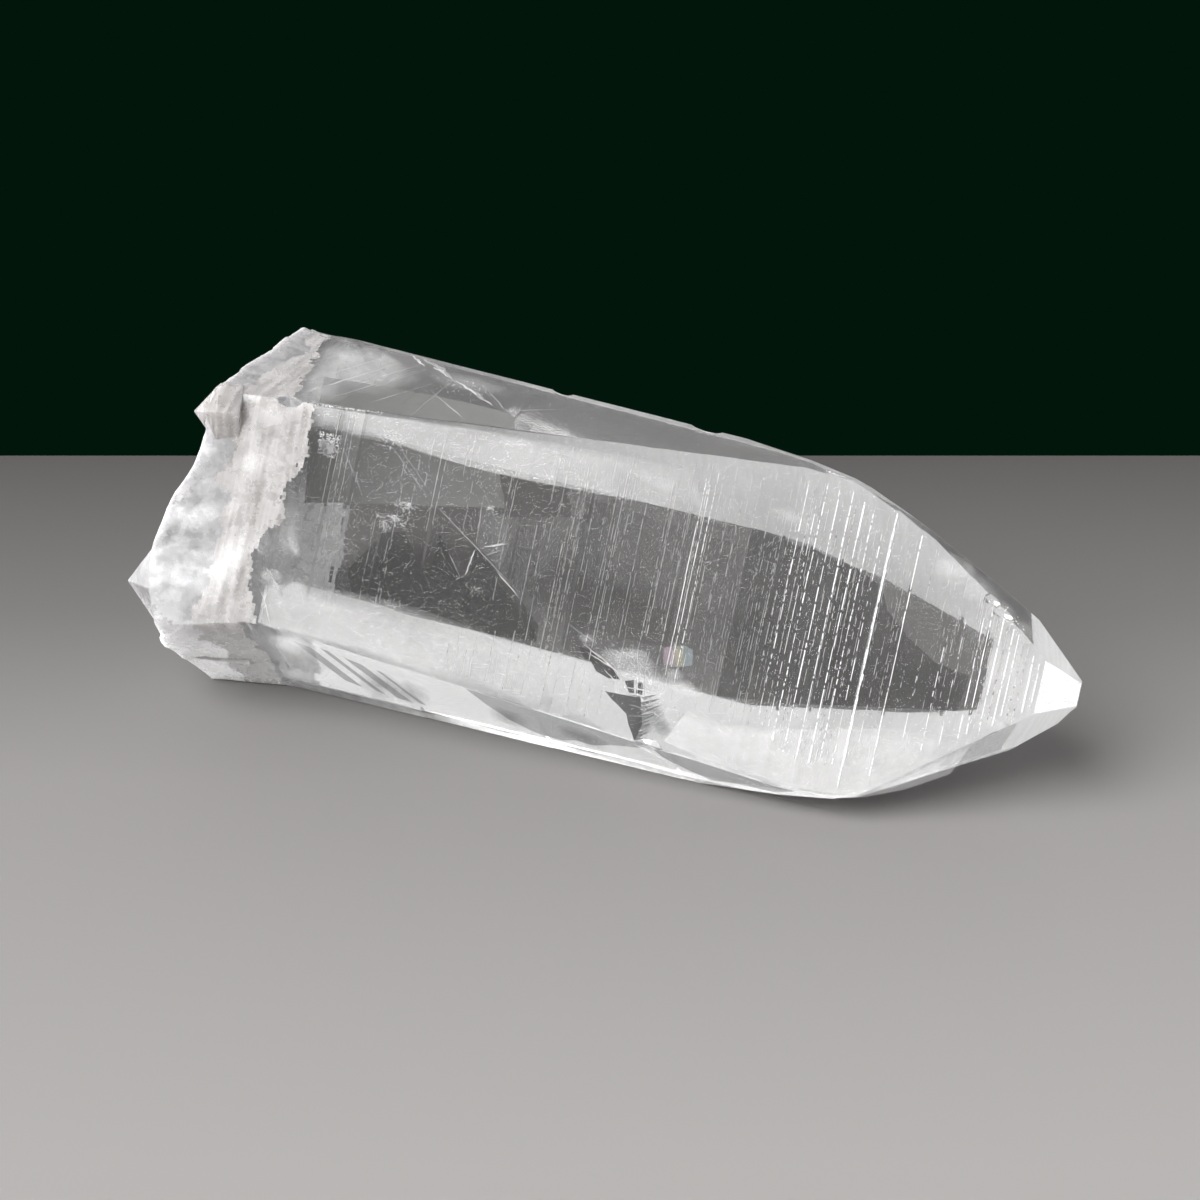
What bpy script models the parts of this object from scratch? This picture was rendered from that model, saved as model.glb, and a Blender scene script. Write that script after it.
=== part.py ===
"""Quartz crystal point, lying on one of its prism faces.

The crystal's long axis runs along +X, from the broken root to the tip. Six faces go round
that axis, 60 degrees apart. Each starts as a long prism face that leans in slightly towards
the tip, steps down over low growth ledges, and ends in a face of the pointed termination.
The front face leans in far more than the others, so the point is curved to one side.
Small crystals that grew at the root are fused to it, and flakes are chipped off its edges.
"""

import math

import bmesh
import bpy
from mathutils import Matrix, Vector, noise

MM = 0.001

# The angle between a rhombohedral face of quartz and the long axis, in degrees.
RHOMB = 38.2

# The six faces, in order round the axis. Each has the direction of its outward normal
# (degrees, from straight in front up and over the top), its distance from the axis line
# at x = 0, its lean towards the tip, the places where it turns steeper: (x, slope), and,
# where it flares at the root, the same again going back. Lengths are in mm and slopes in
# degrees.
FACES = (
    {"name": "front", "turn": 30, "distance": 15.4, "lean": 11.4, "bends": ((46.7, RHOMB),)},
    {
        "name": "top",
        "turn": 90,
        "distance": 33.0,
        "lean": 1.8,
        "bends": ((19.2, 9.0), (24.2, 24.0), (29.5, 28.5), (33.5, 34.0), (40.6, RHOMB)),
    },
    {
        "name": "back_upper",
        "turn": 150,
        "distance": 24.0,
        "lean": 2.1,
        "bends": ((11.5, 8.5), (26.0, 15.5), (44.6, RHOMB)),
    },
    {"name": "back_lower", "turn": 210, "distance": 7.8, "lean": 2.4, "bends": ((38.8, RHOMB),)},
    {
        "name": "bottom",
        "turn": 270,
        "distance": 0.0,
        "lean": 0.0,
        "bends": ((14.0, 10.5), (31.7, 14.5), (44.4, RHOMB)),
    },
    {
        "name": "front_lower",
        "turn": 330,
        "distance": 7.9,
        "lean": 1.8,
        "bends": ((23.0, 7.0), (29.2, 21.0), (31.2, RHOMB)),
        "flare": (-35.0, 13.0),
    },
)

# Growth ledges: places where a face steps down towards the tip, as (x, height) in mm.
LEDGES = {
    "front": (
        (-29.0, 0.16), (-26.6, 0.12), (-17.6, 0.14), (-8.4, 0.10), (-1.5, 0.12), (4.2, 0.12),
        (9.0, 0.14), (15.1, 0.12), (18.6, 0.16), (21.6, 0.18), (24.9, 0.16), (29.2, 0.40),
        (32.1, 0.22), (37.8, 0.16), (40.6, 0.20), (43.4, 0.18),
    ),
    "top": ((-24.0, 0.20), (-12.0, 0.18), (3.0, 0.20), (12.5, 0.16), (27.0, 0.20), (37.0, 0.22)),
    "back_upper": (
        (-30.0, 0.25), (-14.0, 0.30), (-2.0, 0.22), (8.0, 0.28), (20.0, 0.30), (33.0, 0.30),
    ),
    "back_lower": ((-22.0, 0.25), (-6.0, 0.20), (10.0, 0.28), (24.0, 0.24), (33.0, 0.20)),
    "bottom": ((23.0, 0.12), (37.0, 0.20)),
    "front_lower": ((-18.0, 0.20), (-3.0, 0.24), (12.0, 0.22), (36.5, 0.16)),
}
LEDGE_RUN = 0.3

# Where the body starts at the root and stops at the tip, and the least width of a face.
ROOT_X = -43.2
TIP_X = 50.3
TIP_STATION = 48.8
LEAST_STEP = 0.1
LEAST_FACE = 0.35
LEAST_SHARE = 0.3

# The rough root: the surface is uneven from here back, and most of all at the break.
ROUGH_FROM = -33.5
ROUGH_FULL = -41.0
ROUGH_STATIONS = 9
ROUGH_STRIPS = 4
ROUGH_HEIGHT = 0.4
ROUGH_SCALE = 4.5

# The broken end: how far it bulges, and the knobs on it as (y, z, height, radius).
BREAK_RINGS = 7
BREAK_BULGE = 1.2
BREAK_RELIEF = 0.7
BREAK_SCALE = 5.5
BREAK_REACH = 7.0
BREAK_KNOBS = (
    (-17.0, 19.0, 3.2, 6.0),
    (-13.5, 25.0, 0.9, 4.5),
    (-15.0, 8.0, 3.0, 6.5),
    (8.0, 12.0, 1.8, 6.0),
    (9.5, 33.5, -0.8, 5.0),
)

# Small crystals fused to the root: apex, the way it points, width across, length, spin.
SIDE_CRYSTALS = (
    ((-51.0, -16.8, 13.4), (-0.95, -0.31, -0.05), 10.0, 8.0, 22),
    ((-45.8, -8.6, 31.6), (-0.92, -0.38, 0.08), 7.4, 5.4, 30),
    ((-48.9, -13.2, 6.4), (-0.98, -0.12, -0.06), 7.4, 11.0, 18),
    ((-47.3, 6.5, 9.5), (-0.99, 0.10, -0.08), 9.5, 9.0, 5),
    ((-46.3, 9.0, 24.0), (-0.96, 0.16, 0.12), 8.5, 9.0, 40),
)
SIDE_CONE = 0.62

# Flakes chipped off the edges: the face after the edge, counting round from the front face
# as 0, the place along the edge, and the half sizes of the bite along x, y and z.
CHIPS = (
    (1, -35.0, (1.7, 0.9, 0.8)),
    (1, 40.6, (1.3, 0.5, 0.7)),
    (1, 42.0, (1.6, 0.5, 0.8)),
    (2, -10.0, (1.5, 0.9, 0.7)),
    (2, 7.0, (2.2, 0.9, 0.8)),
    (3, 17.2, (1.5, 0.5, 0.6)),
    (0, 9.5, (1.8, 0.9, 0.9)),
)

# The pit in the front face near the root: its centre and half sizes.
PIT = ((-30.0, -7.6, 30.6), (1.2, 0.6, 1.2))

TINT = (0.93, 0.94, 0.94, 1.0)
ROUGHNESS = 0.03
QUARTZ_IOR = 1.544


def smooth_step(low, high, value):
    """0 before low, 1 after high, and a soft ramp between them, in either direction."""
    t = min(max((value - low) / (high - low), 0.0), 1.0)
    return t * t * (3.0 - 2.0 * t)


def run_in(start, end, x):
    """How much of the stretch from start to end lies before x."""
    return min(max(x, start), end) - start


def face_distance(face, x):
    """Distance of a face from the axis line at x, before its ledges."""
    slopes = [(0.0, face["lean"])] + list(face["bends"])
    ends = [start for start, _ in slopes[1:]] + [math.inf]
    distance = face["distance"]
    for (start, slope), end in zip(slopes, ends):
        distance -= math.tan(math.radians(slope)) * run_in(start, end, x)
    distance += math.tan(math.radians(face["lean"])) * run_in(0.0, math.inf, -x)
    if "flare" in face:
        start, slope = face["flare"]
        distance += math.tan(math.radians(slope)) * run_in(-start, math.inf, -x)
    return distance


def ledge_relief(face, x):
    """The saw-tooth that the ledges add: a face stands proud before each and low after it."""
    knots = [(ROOT_X, 0.0)]
    for place, height in LEDGES[face["name"]]:
        knots.append((place - LEDGE_RUN / 2, height / 2))
        knots.append((place + LEDGE_RUN / 2, -height / 2))
    knots.append((TIP_X, 0.0))
    for (x0, h0), (x1, h1) in zip(knots, knots[1:]):
        if x0 <= x <= x1:
            return h0 + (h1 - h0) * (x - x0) / (x1 - x0)
    return 0.0


def section_distances(x):
    """The six distances at x, with no face narrower than the least width."""
    out = [face_distance(face, x) + ledge_relief(face, x) for face in FACES]
    thickness = min(out[k] + out[k + 3] for k in range(3))
    slack = min(LEAST_FACE * math.sqrt(3) / 2, LEAST_SHARE * thickness)
    for _ in range(3):
        for k in range(6):
            out[k] = min(out[k], out[k - 1] + out[(k + 1) % 6] - slack)
    return out


def corner(first, first_distance, second, second_distance):
    """Where two face lines of one cross-section meet, as (y, z)."""
    a, b = math.radians(first["turn"]), math.radians(second["turn"])
    spread = math.sin(b - a)
    out = (first_distance * math.sin(b) - second_distance * math.sin(a)) / spread
    up = (second_distance * math.cos(a) - first_distance * math.cos(b)) / spread
    return -out, up


def section(x, strips):
    """One closed cross-section, with each face cut into strips."""
    distances = section_distances(x)
    corners = [
        corner(FACES[k - 1], distances[k - 1], FACES[k], distances[k]) for k in range(6)
    ]
    points = []
    for k in range(6):
        (y0, z0), (y1, z1) = corners[k], corners[(k + 1) % 6]
        for strip in range(strips):
            t = strip / strips
            points.append(Vector((x, y0 + (y1 - y0) * t, z0 + (z1 - z0) * t)))
    return points


def smooth_stations():
    """The x of each clean cross-section: each bend, both sides of each ledge, and the tip."""
    places = {ROUGH_FROM, TIP_STATION, TIP_X}
    for face in FACES:
        places.update(x for x, _ in face["bends"])
        for x, _ in LEDGES[face["name"]]:
            places.update((x - LEDGE_RUN / 2, x + LEDGE_RUN / 2))
    ordered = sorted(x for x in places if ROUGH_FROM <= x <= TIP_X)
    kept = [ordered[0]]
    for x in ordered[1:]:
        if x - kept[-1] > LEAST_STEP:
            kept.append(x)
    return kept


def rough_stations():
    """The x of each uneven cross-section, from the broken end to the clean faces."""
    step = (ROUGH_FROM - ROOT_X) / ROUGH_STATIONS
    return [ROOT_X + step * i for i in range(ROUGH_STATIONS + 1)]


def break_reach(point):
    """How far the broken end reaches past its mean place at this y and z."""
    flat = Vector((0.0, point.y, point.z))
    reach = BREAK_RELIEF * noise.noise(flat / BREAK_SCALE)
    for y, z, height, radius in BREAK_KNOBS:
        distance = math.hypot(point.y - y, point.z - z)
        reach += height * math.exp(-((distance / radius) ** 2))
    return reach


def roughen(points):
    """Makes a root cross-section uneven, and draws it back to follow the broken end."""
    centre = sum(points, Vector()) / len(points)
    moved = []
    for point in points:
        amount = smooth_step(ROUGH_FROM, ROUGH_FULL, point.x)
        outward = Vector((0.0, point.y - centre.y, point.z - centre.z)).normalized()
        new = point + outward * noise.noise(point / ROUGH_SCALE) * amount * ROUGH_HEIGHT
        new.x -= break_reach(point) * smooth_step(ROOT_X + BREAK_REACH, ROOT_X, point.x)
        new.z = max(new.z, 0.0)
        moved.append(new)
    return moved


def bridge(bm, ring_a, ring_b):
    """Joins two rings of the same length with four-sided faces."""
    count = len(ring_a)
    for i in range(count):
        j = (i + 1) % count
        bm.faces.new((ring_a[i], ring_a[j], ring_b[j], ring_b[i]))


def break_rings(bm, outer):
    """Closes the root with a bulging, uneven broken surface inside the last cross-section."""
    centre = sum((v.co for v in outer), Vector()) / len(outer)
    last = outer
    for step in range(1, BREAK_RINGS):
        keep = 1.0 - step / BREAK_RINGS
        ring = []
        for vert in outer:
            point = centre.lerp(vert.co, keep)
            point.x = ROOT_X - break_reach(point) - BREAK_BULGE * (1.0 - keep * keep)
            ring.append(bm.verts.new(point))
        bridge(bm, ring, last)
        last = ring
    centre.x = ROOT_X - break_reach(centre) - BREAK_BULGE
    middle = bm.verts.new(centre)
    for i, vert in enumerate(last):
        bm.faces.new((vert, last[(i + 1) % len(last)], middle))


def widen_ring(bm, corners, strips):
    """Joins a ring of six corners to one with strips, across the same six faces."""
    for k in range(6):
        edge = [strips[(k * ROUGH_STRIPS + i) % len(strips)] for i in range(ROUGH_STRIPS + 1)]
        bm.faces.new((*edge, corners[(k + 1) % 6], corners[k]))


def main_crystal():
    """The large crystal: cross-sections joined from the broken root to the tip."""
    bm = bmesh.new()
    rough = []
    for x in rough_stations():
        points = roughen(section(x, ROUGH_STRIPS))
        rough.append([bm.verts.new(point) for point in points])
    clean = [[bm.verts.new(p) for p in section(x, 1)] for x in smooth_stations()[1:]]
    break_rings(bm, rough[0])
    for rings in (rough, clean):
        for ring_a, ring_b in zip(rings, rings[1:]):
            bridge(bm, ring_a, ring_b)
    widen_ring(bm, clean[0], rough[-1])
    bm.faces.new(clean[-1])
    bmesh.ops.triangulate(bm, faces=bm.faces[:])
    bmesh.ops.recalc_face_normals(bm, faces=bm.faces[:])
    return bm


def side_crystal(apex, points, across, length, spin):
    """A six-sided prism with a pointed end, placed by its apex and its direction."""
    bm = bmesh.new()
    radius = across / 2
    shoulder = -radius / math.tan(math.radians(RHOMB)) * SIDE_CONE
    rings = []
    for depth in (-length, shoulder):
        ring = []
        for k in range(6):
            turn = math.radians(60 * k + spin)
            ring.append(bm.verts.new((radius * math.cos(turn), radius * math.sin(turn), depth)))
        rings.append(ring)
    end = bm.verts.new((0.0, 0.0, 0.0))
    bridge(bm, rings[0], rings[1])
    for i in range(6):
        bm.faces.new((rings[1][i], rings[1][(i + 1) % 6], end))
    bm.faces.new(rings[0])
    turn = Vector(points).to_track_quat("Z", "Y").to_matrix().to_4x4()
    bm.transform(Matrix.Translation(apex) @ turn)
    bmesh.ops.recalc_face_normals(bm, faces=bm.faces[:])
    return bm


def bite(centre, size):
    """A small angular lump, used as the hollow that a lost flake leaves."""
    bm = bmesh.new()
    bmesh.ops.create_icosphere(bm, subdivisions=1, radius=1.0)
    for vert in bm.verts:
        vert.co *= 1.0 + 0.25 * noise.noise(vert.co * 2.0 + Vector(centre))
    bm.transform(Matrix.Translation(centre) @ Matrix.Diagonal((*size, 1.0)))
    return bm


def chip(face, x, size):
    """The bite of a chip on the edge before a face, centred on the edge."""
    edge = section(x, 1)[face]
    return bite(tuple(edge), size)


def as_object(name, bm):
    """Puts a bmesh into the scene as an object, still in millimetres."""
    mesh = bpy.data.meshes.new(name)
    bm.to_mesh(mesh)
    bm.free()
    obj = bpy.data.objects.new(name, mesh)
    bpy.context.scene.collection.objects.link(obj)
    return obj


def combine(obj, shapes, operation):
    """Joins the shapes to the object, or cuts them from it, one after the other."""
    for bm in shapes:
        other = as_object("shape", bm)
        modifier = obj.modifiers.new(operation.lower(), "BOOLEAN")
        modifier.operation = operation
        modifier.solver = "EXACT"
        modifier.object = other
        graph = bpy.context.evaluated_depsgraph_get()
        result = bpy.data.meshes.new_from_object(obj.evaluated_get(graph))
        obj.modifiers.clear()
        obj.data = result
        bpy.data.objects.remove(other, do_unlink=True)


def stand_in_metres(obj):
    """Puts the origin under the middle of the crystal's box, and scales it to metres."""
    low = Vector([min(v.co[i] for v in obj.data.vertices) for i in range(3)])
    high = Vector([max(v.co[i] for v in obj.data.vertices) for i in range(3)])
    middle = (low + high) / 2
    to_origin = Matrix.Translation((-middle.x, -middle.y, -low.z))
    obj.data.transform(Matrix.Scale(MM, 4) @ to_origin)


def clear_quartz():
    material = bpy.data.materials.new("clear_quartz")
    material.use_nodes = True
    shader = material.node_tree.nodes["Principled BSDF"]
    shader.inputs["Base Color"].default_value = TINT
    shader.inputs["Metallic"].default_value = 0.0
    shader.inputs["Roughness"].default_value = ROUGHNESS
    shader.inputs["IOR"].default_value = QUARTZ_IOR
    shader.inputs["Transmission Weight"].default_value = 1.0
    return material


def main():
    for obj in list(bpy.data.objects):
        bpy.data.objects.remove(obj, do_unlink=True)
    crystal = as_object("quartz_crystal", main_crystal())
    combine(crystal, [side_crystal(*spec) for spec in SIDE_CRYSTALS], "UNION")
    combine(crystal, [bite(*PIT)] + [chip(*spec) for spec in CHIPS], "DIFFERENCE")
    stand_in_metres(crystal)
    crystal.data.materials.clear()
    crystal.data.materials.append(clear_quartz())


main()
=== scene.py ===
"""Looks of the quartz point: a fine mesh of its faces, its frosting, its veils, and painted light
and shade.
"""

import math

import bmesh
import bpy
import numpy as np
from mathutils import Matrix, Vector, noise
from mathutils.bvhtree import BVHTree


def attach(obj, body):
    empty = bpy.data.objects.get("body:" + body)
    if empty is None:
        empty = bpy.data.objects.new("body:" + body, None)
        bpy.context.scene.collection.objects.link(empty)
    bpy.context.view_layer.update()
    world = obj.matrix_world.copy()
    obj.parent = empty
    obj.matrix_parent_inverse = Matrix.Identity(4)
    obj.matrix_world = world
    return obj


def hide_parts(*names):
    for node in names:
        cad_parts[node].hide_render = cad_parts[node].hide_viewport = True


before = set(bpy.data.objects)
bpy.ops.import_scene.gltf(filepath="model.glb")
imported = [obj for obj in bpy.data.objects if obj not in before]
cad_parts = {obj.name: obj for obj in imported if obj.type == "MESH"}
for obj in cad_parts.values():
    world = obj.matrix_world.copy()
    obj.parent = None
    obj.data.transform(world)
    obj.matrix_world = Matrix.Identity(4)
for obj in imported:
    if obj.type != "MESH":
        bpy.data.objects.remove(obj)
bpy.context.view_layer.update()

MM = 0.001
# Vector noise starts from a random offset in each process until it is given a seed.
NOISE_SEED = 1
noise.seed_set(NOISE_SEED)

# ---------------------------------------------------------------- the crystal's faces
# The same six faces and driving sizes as the solid, in millimetres and degrees.
RHOMB = 38.2
FACES = (
    {"name": "front", "turn": 30, "distance": 15.4, "lean": 11.4, "bends": ((46.7, RHOMB),)},
    {
        "name": "top",
        "turn": 90,
        "distance": 33.0,
        "lean": 1.8,
        "bends": ((19.2, 9.0), (24.2, 24.0), (29.5, 28.5), (33.5, 34.0), (40.6, RHOMB)),
    },
    {
        "name": "back_upper",
        "turn": 150,
        "distance": 24.0,
        "lean": 2.1,
        "bends": ((11.5, 8.5), (26.0, 15.5), (44.6, RHOMB)),
    },
    {"name": "back_lower", "turn": 210, "distance": 7.8, "lean": 2.4, "bends": ((38.8, RHOMB),)},
    {
        "name": "bottom",
        "turn": 270,
        "distance": 0.0,
        "lean": 0.0,
        "bends": ((14.0, 10.5), (31.7, 14.5), (44.4, RHOMB)),
    },
    {
        "name": "front_lower",
        "turn": 330,
        "distance": 7.9,
        "lean": 1.8,
        "bends": ((23.0, 7.0), (29.2, 21.0), (31.2, RHOMB)),
        "flare": (-35.0, 13.0),
    },
)
LEDGES = {
    "front": (
        (-29.0, 0.16), (-26.6, 0.12), (-17.6, 0.14), (-8.4, 0.10), (-1.5, 0.12), (4.2, 0.12),
        (9.0, 0.14), (15.1, 0.12), (18.6, 0.16), (21.6, 0.18), (24.9, 0.16), (29.2, 0.40),
        (32.1, 0.22), (37.8, 0.16), (40.6, 0.20), (43.4, 0.18),
    ),
    "top": ((-24.0, 0.20), (-12.0, 0.18), (3.0, 0.20), (12.5, 0.16), (27.0, 0.20), (37.0, 0.22)),
    "back_upper": (
        (-30.0, 0.25), (-14.0, 0.30), (-2.0, 0.22), (8.0, 0.28), (20.0, 0.30), (33.0, 0.30),
    ),
    "back_lower": ((-22.0, 0.25), (-6.0, 0.20), (10.0, 0.28), (24.0, 0.24), (33.0, 0.20)),
    "bottom": ((23.0, 0.12), (37.0, 0.20)),
    "front_lower": ((-18.0, 0.20), (-3.0, 0.24), (12.0, 0.22), (36.5, 0.16)),
}
LEDGE_RUN = 0.3
LEDGE_SHARE = {
    "front": 0.6, "top": 0.15, "back_upper": 0.06, "back_lower": 0.06, "bottom": 0.06,
    "front_lower": 0.3,
}
ROOT_X = -43.2
TIP_X = 50.3
LEAST_FACE = 0.35
LEAST_SHARE = 0.3

# The middle of the solid's box in these coordinates, which is where the frame's origin is.
FOOTPRINT = (-0.35, -0.25)

# Mesh fineness: cross-sections this far apart at the root and elsewhere, and how many strips
# each face is cut into. The edges between the faces are worn to this width.
ROOT_STEP = 0.2
STATION_STEP = 0.3
STRIPS = {
    "front": 60, "top": 40, "back_upper": 26, "back_lower": 20, "bottom": 26, "front_lower": 24,
}
WORN_EDGE = 0.05

# The rough root and its broken end, as in the solid: lumps as (centre, radius, height), and
# knobs on the broken end as (y, z, height, radius).
ROUGH_FROM = -33.5
ROUGH_FULL = -41.0
ROUGH_HEIGHT = 0.4
ROUGH_SCALE = 4.5
ROOT_LUMPS = (((-42.5, -17.0, 12.5), 6.5, 2.0),)
ROUND_REACH = 2
ROUND_FROM, ROUND_FULL = -36.5, -41.5
FLAT_FOOT = 4.0
BREAK_RINGS = 34
BREAK_BULGE = 1.2
BREAK_RELIEF = 0.7
BREAK_SCALE = 5.5
BREAK_REACH = 7.0
BREAK_KNOBS = (
    (-17.0, 19.0, 3.2, 6.0),
    (-13.5, 25.0, 0.9, 4.5),
    (-15.0, 8.0, 3.0, 6.5),
    (8.0, 12.0, 1.8, 6.0),
    (9.5, 33.5, -0.8, 5.0),
)
# Side crystals: where each ends, where it points, its width, its length and its spin.
SIDE_CRYSTALS = (
    ((-51.0, -16.8, 13.4), (-0.95, -0.31, -0.05), 10.0, 8.0, 22),
    ((-45.8, -8.6, 31.6), (-0.92, -0.38, 0.08), 7.4, 5.4, 30),
    ((-48.9, -13.2, 6.4), (-0.98, -0.12, -0.06), 7.4, 11.0, 18),
    ((-47.3, 6.5, 9.5), (-0.99, 0.10, -0.08), 9.5, 9.0, 5),
    ((-46.3, 9.0, 24.0), (-0.96, 0.16, 0.12), 8.5, 9.0, 40),
)
SIDE_CONE = 0.62
# Chips: the corner of the cross-section that each lies on, its x and its half sizes. The pit:
# its centre and half sizes.
CHIPS = (
    (1, -35.0, (1.7, 0.9, 0.8)),
    (1, 40.6, (1.3, 0.5, 0.7)),
    (1, 42.0, (1.6, 0.5, 0.8)),
    (2, -10.0, (1.5, 0.9, 0.7)),
    (2, 7.0, (2.2, 0.9, 0.8)),
    (3, 17.2, (1.5, 0.5, 0.6)),
    (0, 9.5, (1.8, 0.9, 0.9)),
)
PIT = ((-30.0, -7.6, 30.6), (1.2, 0.6, 1.2))

# Where the frosting ends: on the front face as (z, x) from its bottom edge up, on the top
# face as x at the front edge and its slant, and on the others as x.
FROST_FRONT = (
    (0.0, -33.4), (5.0, -32.8), (9.0, -33.6), (12.6, -33.8), (17.1, -35.1), (19.4, -35.6),
    (21.9, -34.6), (23.0, -33.3), (25.6, -33.7), (29.4, -32.4), (32.4, -32.5), (40.0, -32.8),
)
FROST_TOP = (-34.0, -0.30)
FROST_UNDER = -35.5
CRUST_FROM = -40.0
CRUST_BEHIND = -38.0
TIP_LEAN = 0.3

# Material slots of the crystal's mesh, those of the side crystals, and the x up to which a chip
# lies in the frosting and shows crust.
CLEAR, STRIATED, FROSTED, CRUST = range(4)
SIDE_SLOTS = (CRUST, FROSTED, CRUST, CRUST, CRUST)
CRUST_CHIPS = -33.0

# The way in from each face, along which what lies inside the crystal is sunk: the way that
# sight from the crystal's front takes once the face has bent it.
INTO = {
    "front": (-0.297, 0.803, -0.518),
    "top": (-0.241, 0.501, -0.832),
    "front_lower": (-0.243, 0.967, -0.074),
}
BY_NAME = {face["name"]: k for k, face in enumerate(FACES)}


def smooth_step(low, high, value):
    """Rises from 0 at the low value to 1 at the high one."""
    t = np.clip((value - low) / (high - low), 0.0, 1.0)
    return t * t * (3.0 - 2.0 * t)


def run_in(start, end, x):
    """How much of the way from start to end lies before x."""
    return np.clip(x, start, end) - start


def face_distance(face, x):
    """How far a face lies from the axis line at each x."""
    slopes = [(0.0, face["lean"])] + list(face["bends"])
    ends = [start for start, _ in slopes[1:]] + [1000.0]
    distance = np.full_like(x, face["distance"])
    for (start, slope), end in zip(slopes, ends):
        distance -= math.tan(math.radians(slope)) * run_in(start, end, x)
    distance += math.tan(math.radians(face["lean"])) * run_in(0.0, 1000.0, -x)
    if "flare" in face:
        start, slope = face["flare"]
        distance += math.tan(math.radians(slope)) * run_in(-start, 1000.0, -x)
    return distance


def ledge_relief(face, x):
    """The saw-tooth of the ledges, which are lower where growth or wear has evened them out."""
    places, heights = [ROOT_X], [0.0]
    for place, height in LEDGES[face["name"]]:
        places += [place - LEDGE_RUN / 2, place + LEDGE_RUN / 2]
        heights += [height / 2, -height / 2]
    return LEDGE_SHARE[face["name"]] * np.interp(x, places + [TIP_X], heights + [0.0])


def section_distances(x):
    """The distances of the six faces at each x, so that no face is lost between two others."""
    out = [face_distance(face, x) + ledge_relief(face, x) for face in FACES]
    thickness = np.minimum.reduce([out[k] + out[k + 3] for k in range(3)])
    slack = np.minimum(LEAST_FACE * math.sqrt(3) / 2, LEAST_SHARE * thickness)
    for _ in range(3):
        for k in range(6):
            out[k] = np.minimum(out[k], out[k - 1] + out[(k + 1) % 6] - slack)
    return out


def corner(first, first_distance, second, second_distance):
    """Where two faces of a cross-section meet, as y and z."""
    a, b = math.radians(first["turn"]), math.radians(second["turn"])
    spread = math.sin(b - a)
    out = (first_distance * math.sin(b) - second_distance * math.sin(a)) / spread
    up = (second_distance * math.cos(a) - first_distance * math.cos(b)) / spread
    return -out, up


def section_corners(x):
    """The six corners of each cross-section: corner k is where face k begins."""
    distances = section_distances(x)
    return [corner(FACES[k - 1], distances[k - 1], FACES[k], distances[k]) for k in range(6)]


def stations():
    """The x of every cross-section: an even spacing, plus both sides of every bend and ledge."""
    root = np.arange(ROOT_X, ROUGH_FROM + 3.0, ROOT_STEP)
    even = np.concatenate([root, np.arange(root[-1] + STATION_STEP, TIP_X, STATION_STEP)])
    exact = [TIP_X]
    for face in FACES:
        exact += [x for x, _ in face["bends"]]
        for x, _ in LEDGES[face["name"]]:
            exact += [x - LEDGE_RUN / 2, x + LEDGE_RUN / 2]
    near = np.min(np.abs(even[:, None] - np.array(exact)[None, :]), axis=1)
    places = np.sort(np.concatenate([even[near > ROOT_STEP / 3], exact]))
    return places[np.concatenate([[True], np.diff(places) > 0.02])]


def on_face(name, x, across, depth=0.0):
    """The point on a face at this x and z (y on the top face), or so deep inside it."""
    face = FACES[BY_NAME[name]]
    distance = float(face_distance(face, np.array([float(x)]))[0])
    turn = math.radians(face["turn"])
    if name == "top":
        point = Vector((x, across, distance))
    else:
        point = Vector((x, (across * math.sin(turn) - distance) / math.cos(turn), across))
    return point + Vector(INTO[name]) * depth


# ---------------------------------------------------------------- the crystal's mesh
def to_scene(obj):
    """Moves a mesh built in millimetres about the axis line to the frame's place and units."""
    shift = Matrix.Translation((-FOOTPRINT[0], -FOOTPRINT[1], 0.0))
    obj.data.transform(Matrix.Scale(MM, 4) @ shift)
    return obj


def as_object(name, bm, materials=(), slot=0):
    """An object with this mesh and these materials, all of it in one slot."""
    mesh = bpy.data.meshes.new(name)
    bm.to_mesh(mesh)
    bm.free()
    obj = bpy.data.objects.new(name, mesh)
    bpy.context.scene.collection.objects.link(obj)
    for material in materials:
        mesh.materials.append(material)
    for poly in mesh.polygons:
        poly.material_index = slot
    return obj


def break_reach(y, z):
    """How far the broken end reaches past its mean place at these y and z."""
    flat = np.stack([np.zeros(y.size), y.ravel(), z.ravel()], axis=1)
    reach = np.array([BREAK_RELIEF * noise.noise(Vector(p) / BREAK_SCALE) for p in flat])
    reach = reach.reshape(y.shape)
    for ky, kz, height, radius in BREAK_KNOBS:
        distance = np.hypot(y - ky, z - kz)
        reach += height * np.exp(-((distance / radius) ** 2))
    return reach


def facets(p, size, height, seed):
    """Height of a surface broken into flat, tilted facets of about this size."""
    spot = p / size + Vector((seed, 2.0 * seed, -seed))
    nearest = noise.voronoi(spot)[1][0]
    tilt = noise.noise_vector(nearest * 7.3)
    return height * ((spot - nearest).dot(tilt) * 2.5 + tilt.x)


def crust(point):
    """Fracture facets, small lumps and teeth of the broken root, in mm."""
    p = Vector(point)
    return facets(p, 4.2, 0.15, 3.0) + facets(p, 1.6, 0.04, 9.0) + 0.02 * noise.noise(p / 0.5)


def main_grid():
    """Points of the main crystal: one closed ring of points for each cross-section."""
    x = stations()
    corners = section_corners(x)
    strips = []
    for k, face in enumerate(FACES):
        count = STRIPS[face["name"]]
        (y0, z0), (y1, z1) = corners[k], corners[(k + 1) % 6]
        width = np.hypot(y1 - y0, z1 - z0)
        worn = np.minimum(WORN_EDGE / np.maximum(width, 0.01), 0.2)[:, None]
        s = worn + (1.0 - 2.0 * worn) * np.arange(count) / (count - 1)
        y = y0[:, None] + (y1 - y0)[:, None] * s
        z = z0[:, None] + (z1 - z0)[:, None] * s
        strips.append(np.stack([np.repeat(x[:, None], count, 1), y, z], axis=-1))
    return roughen(round_off(np.concatenate(strips, axis=1)))


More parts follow.
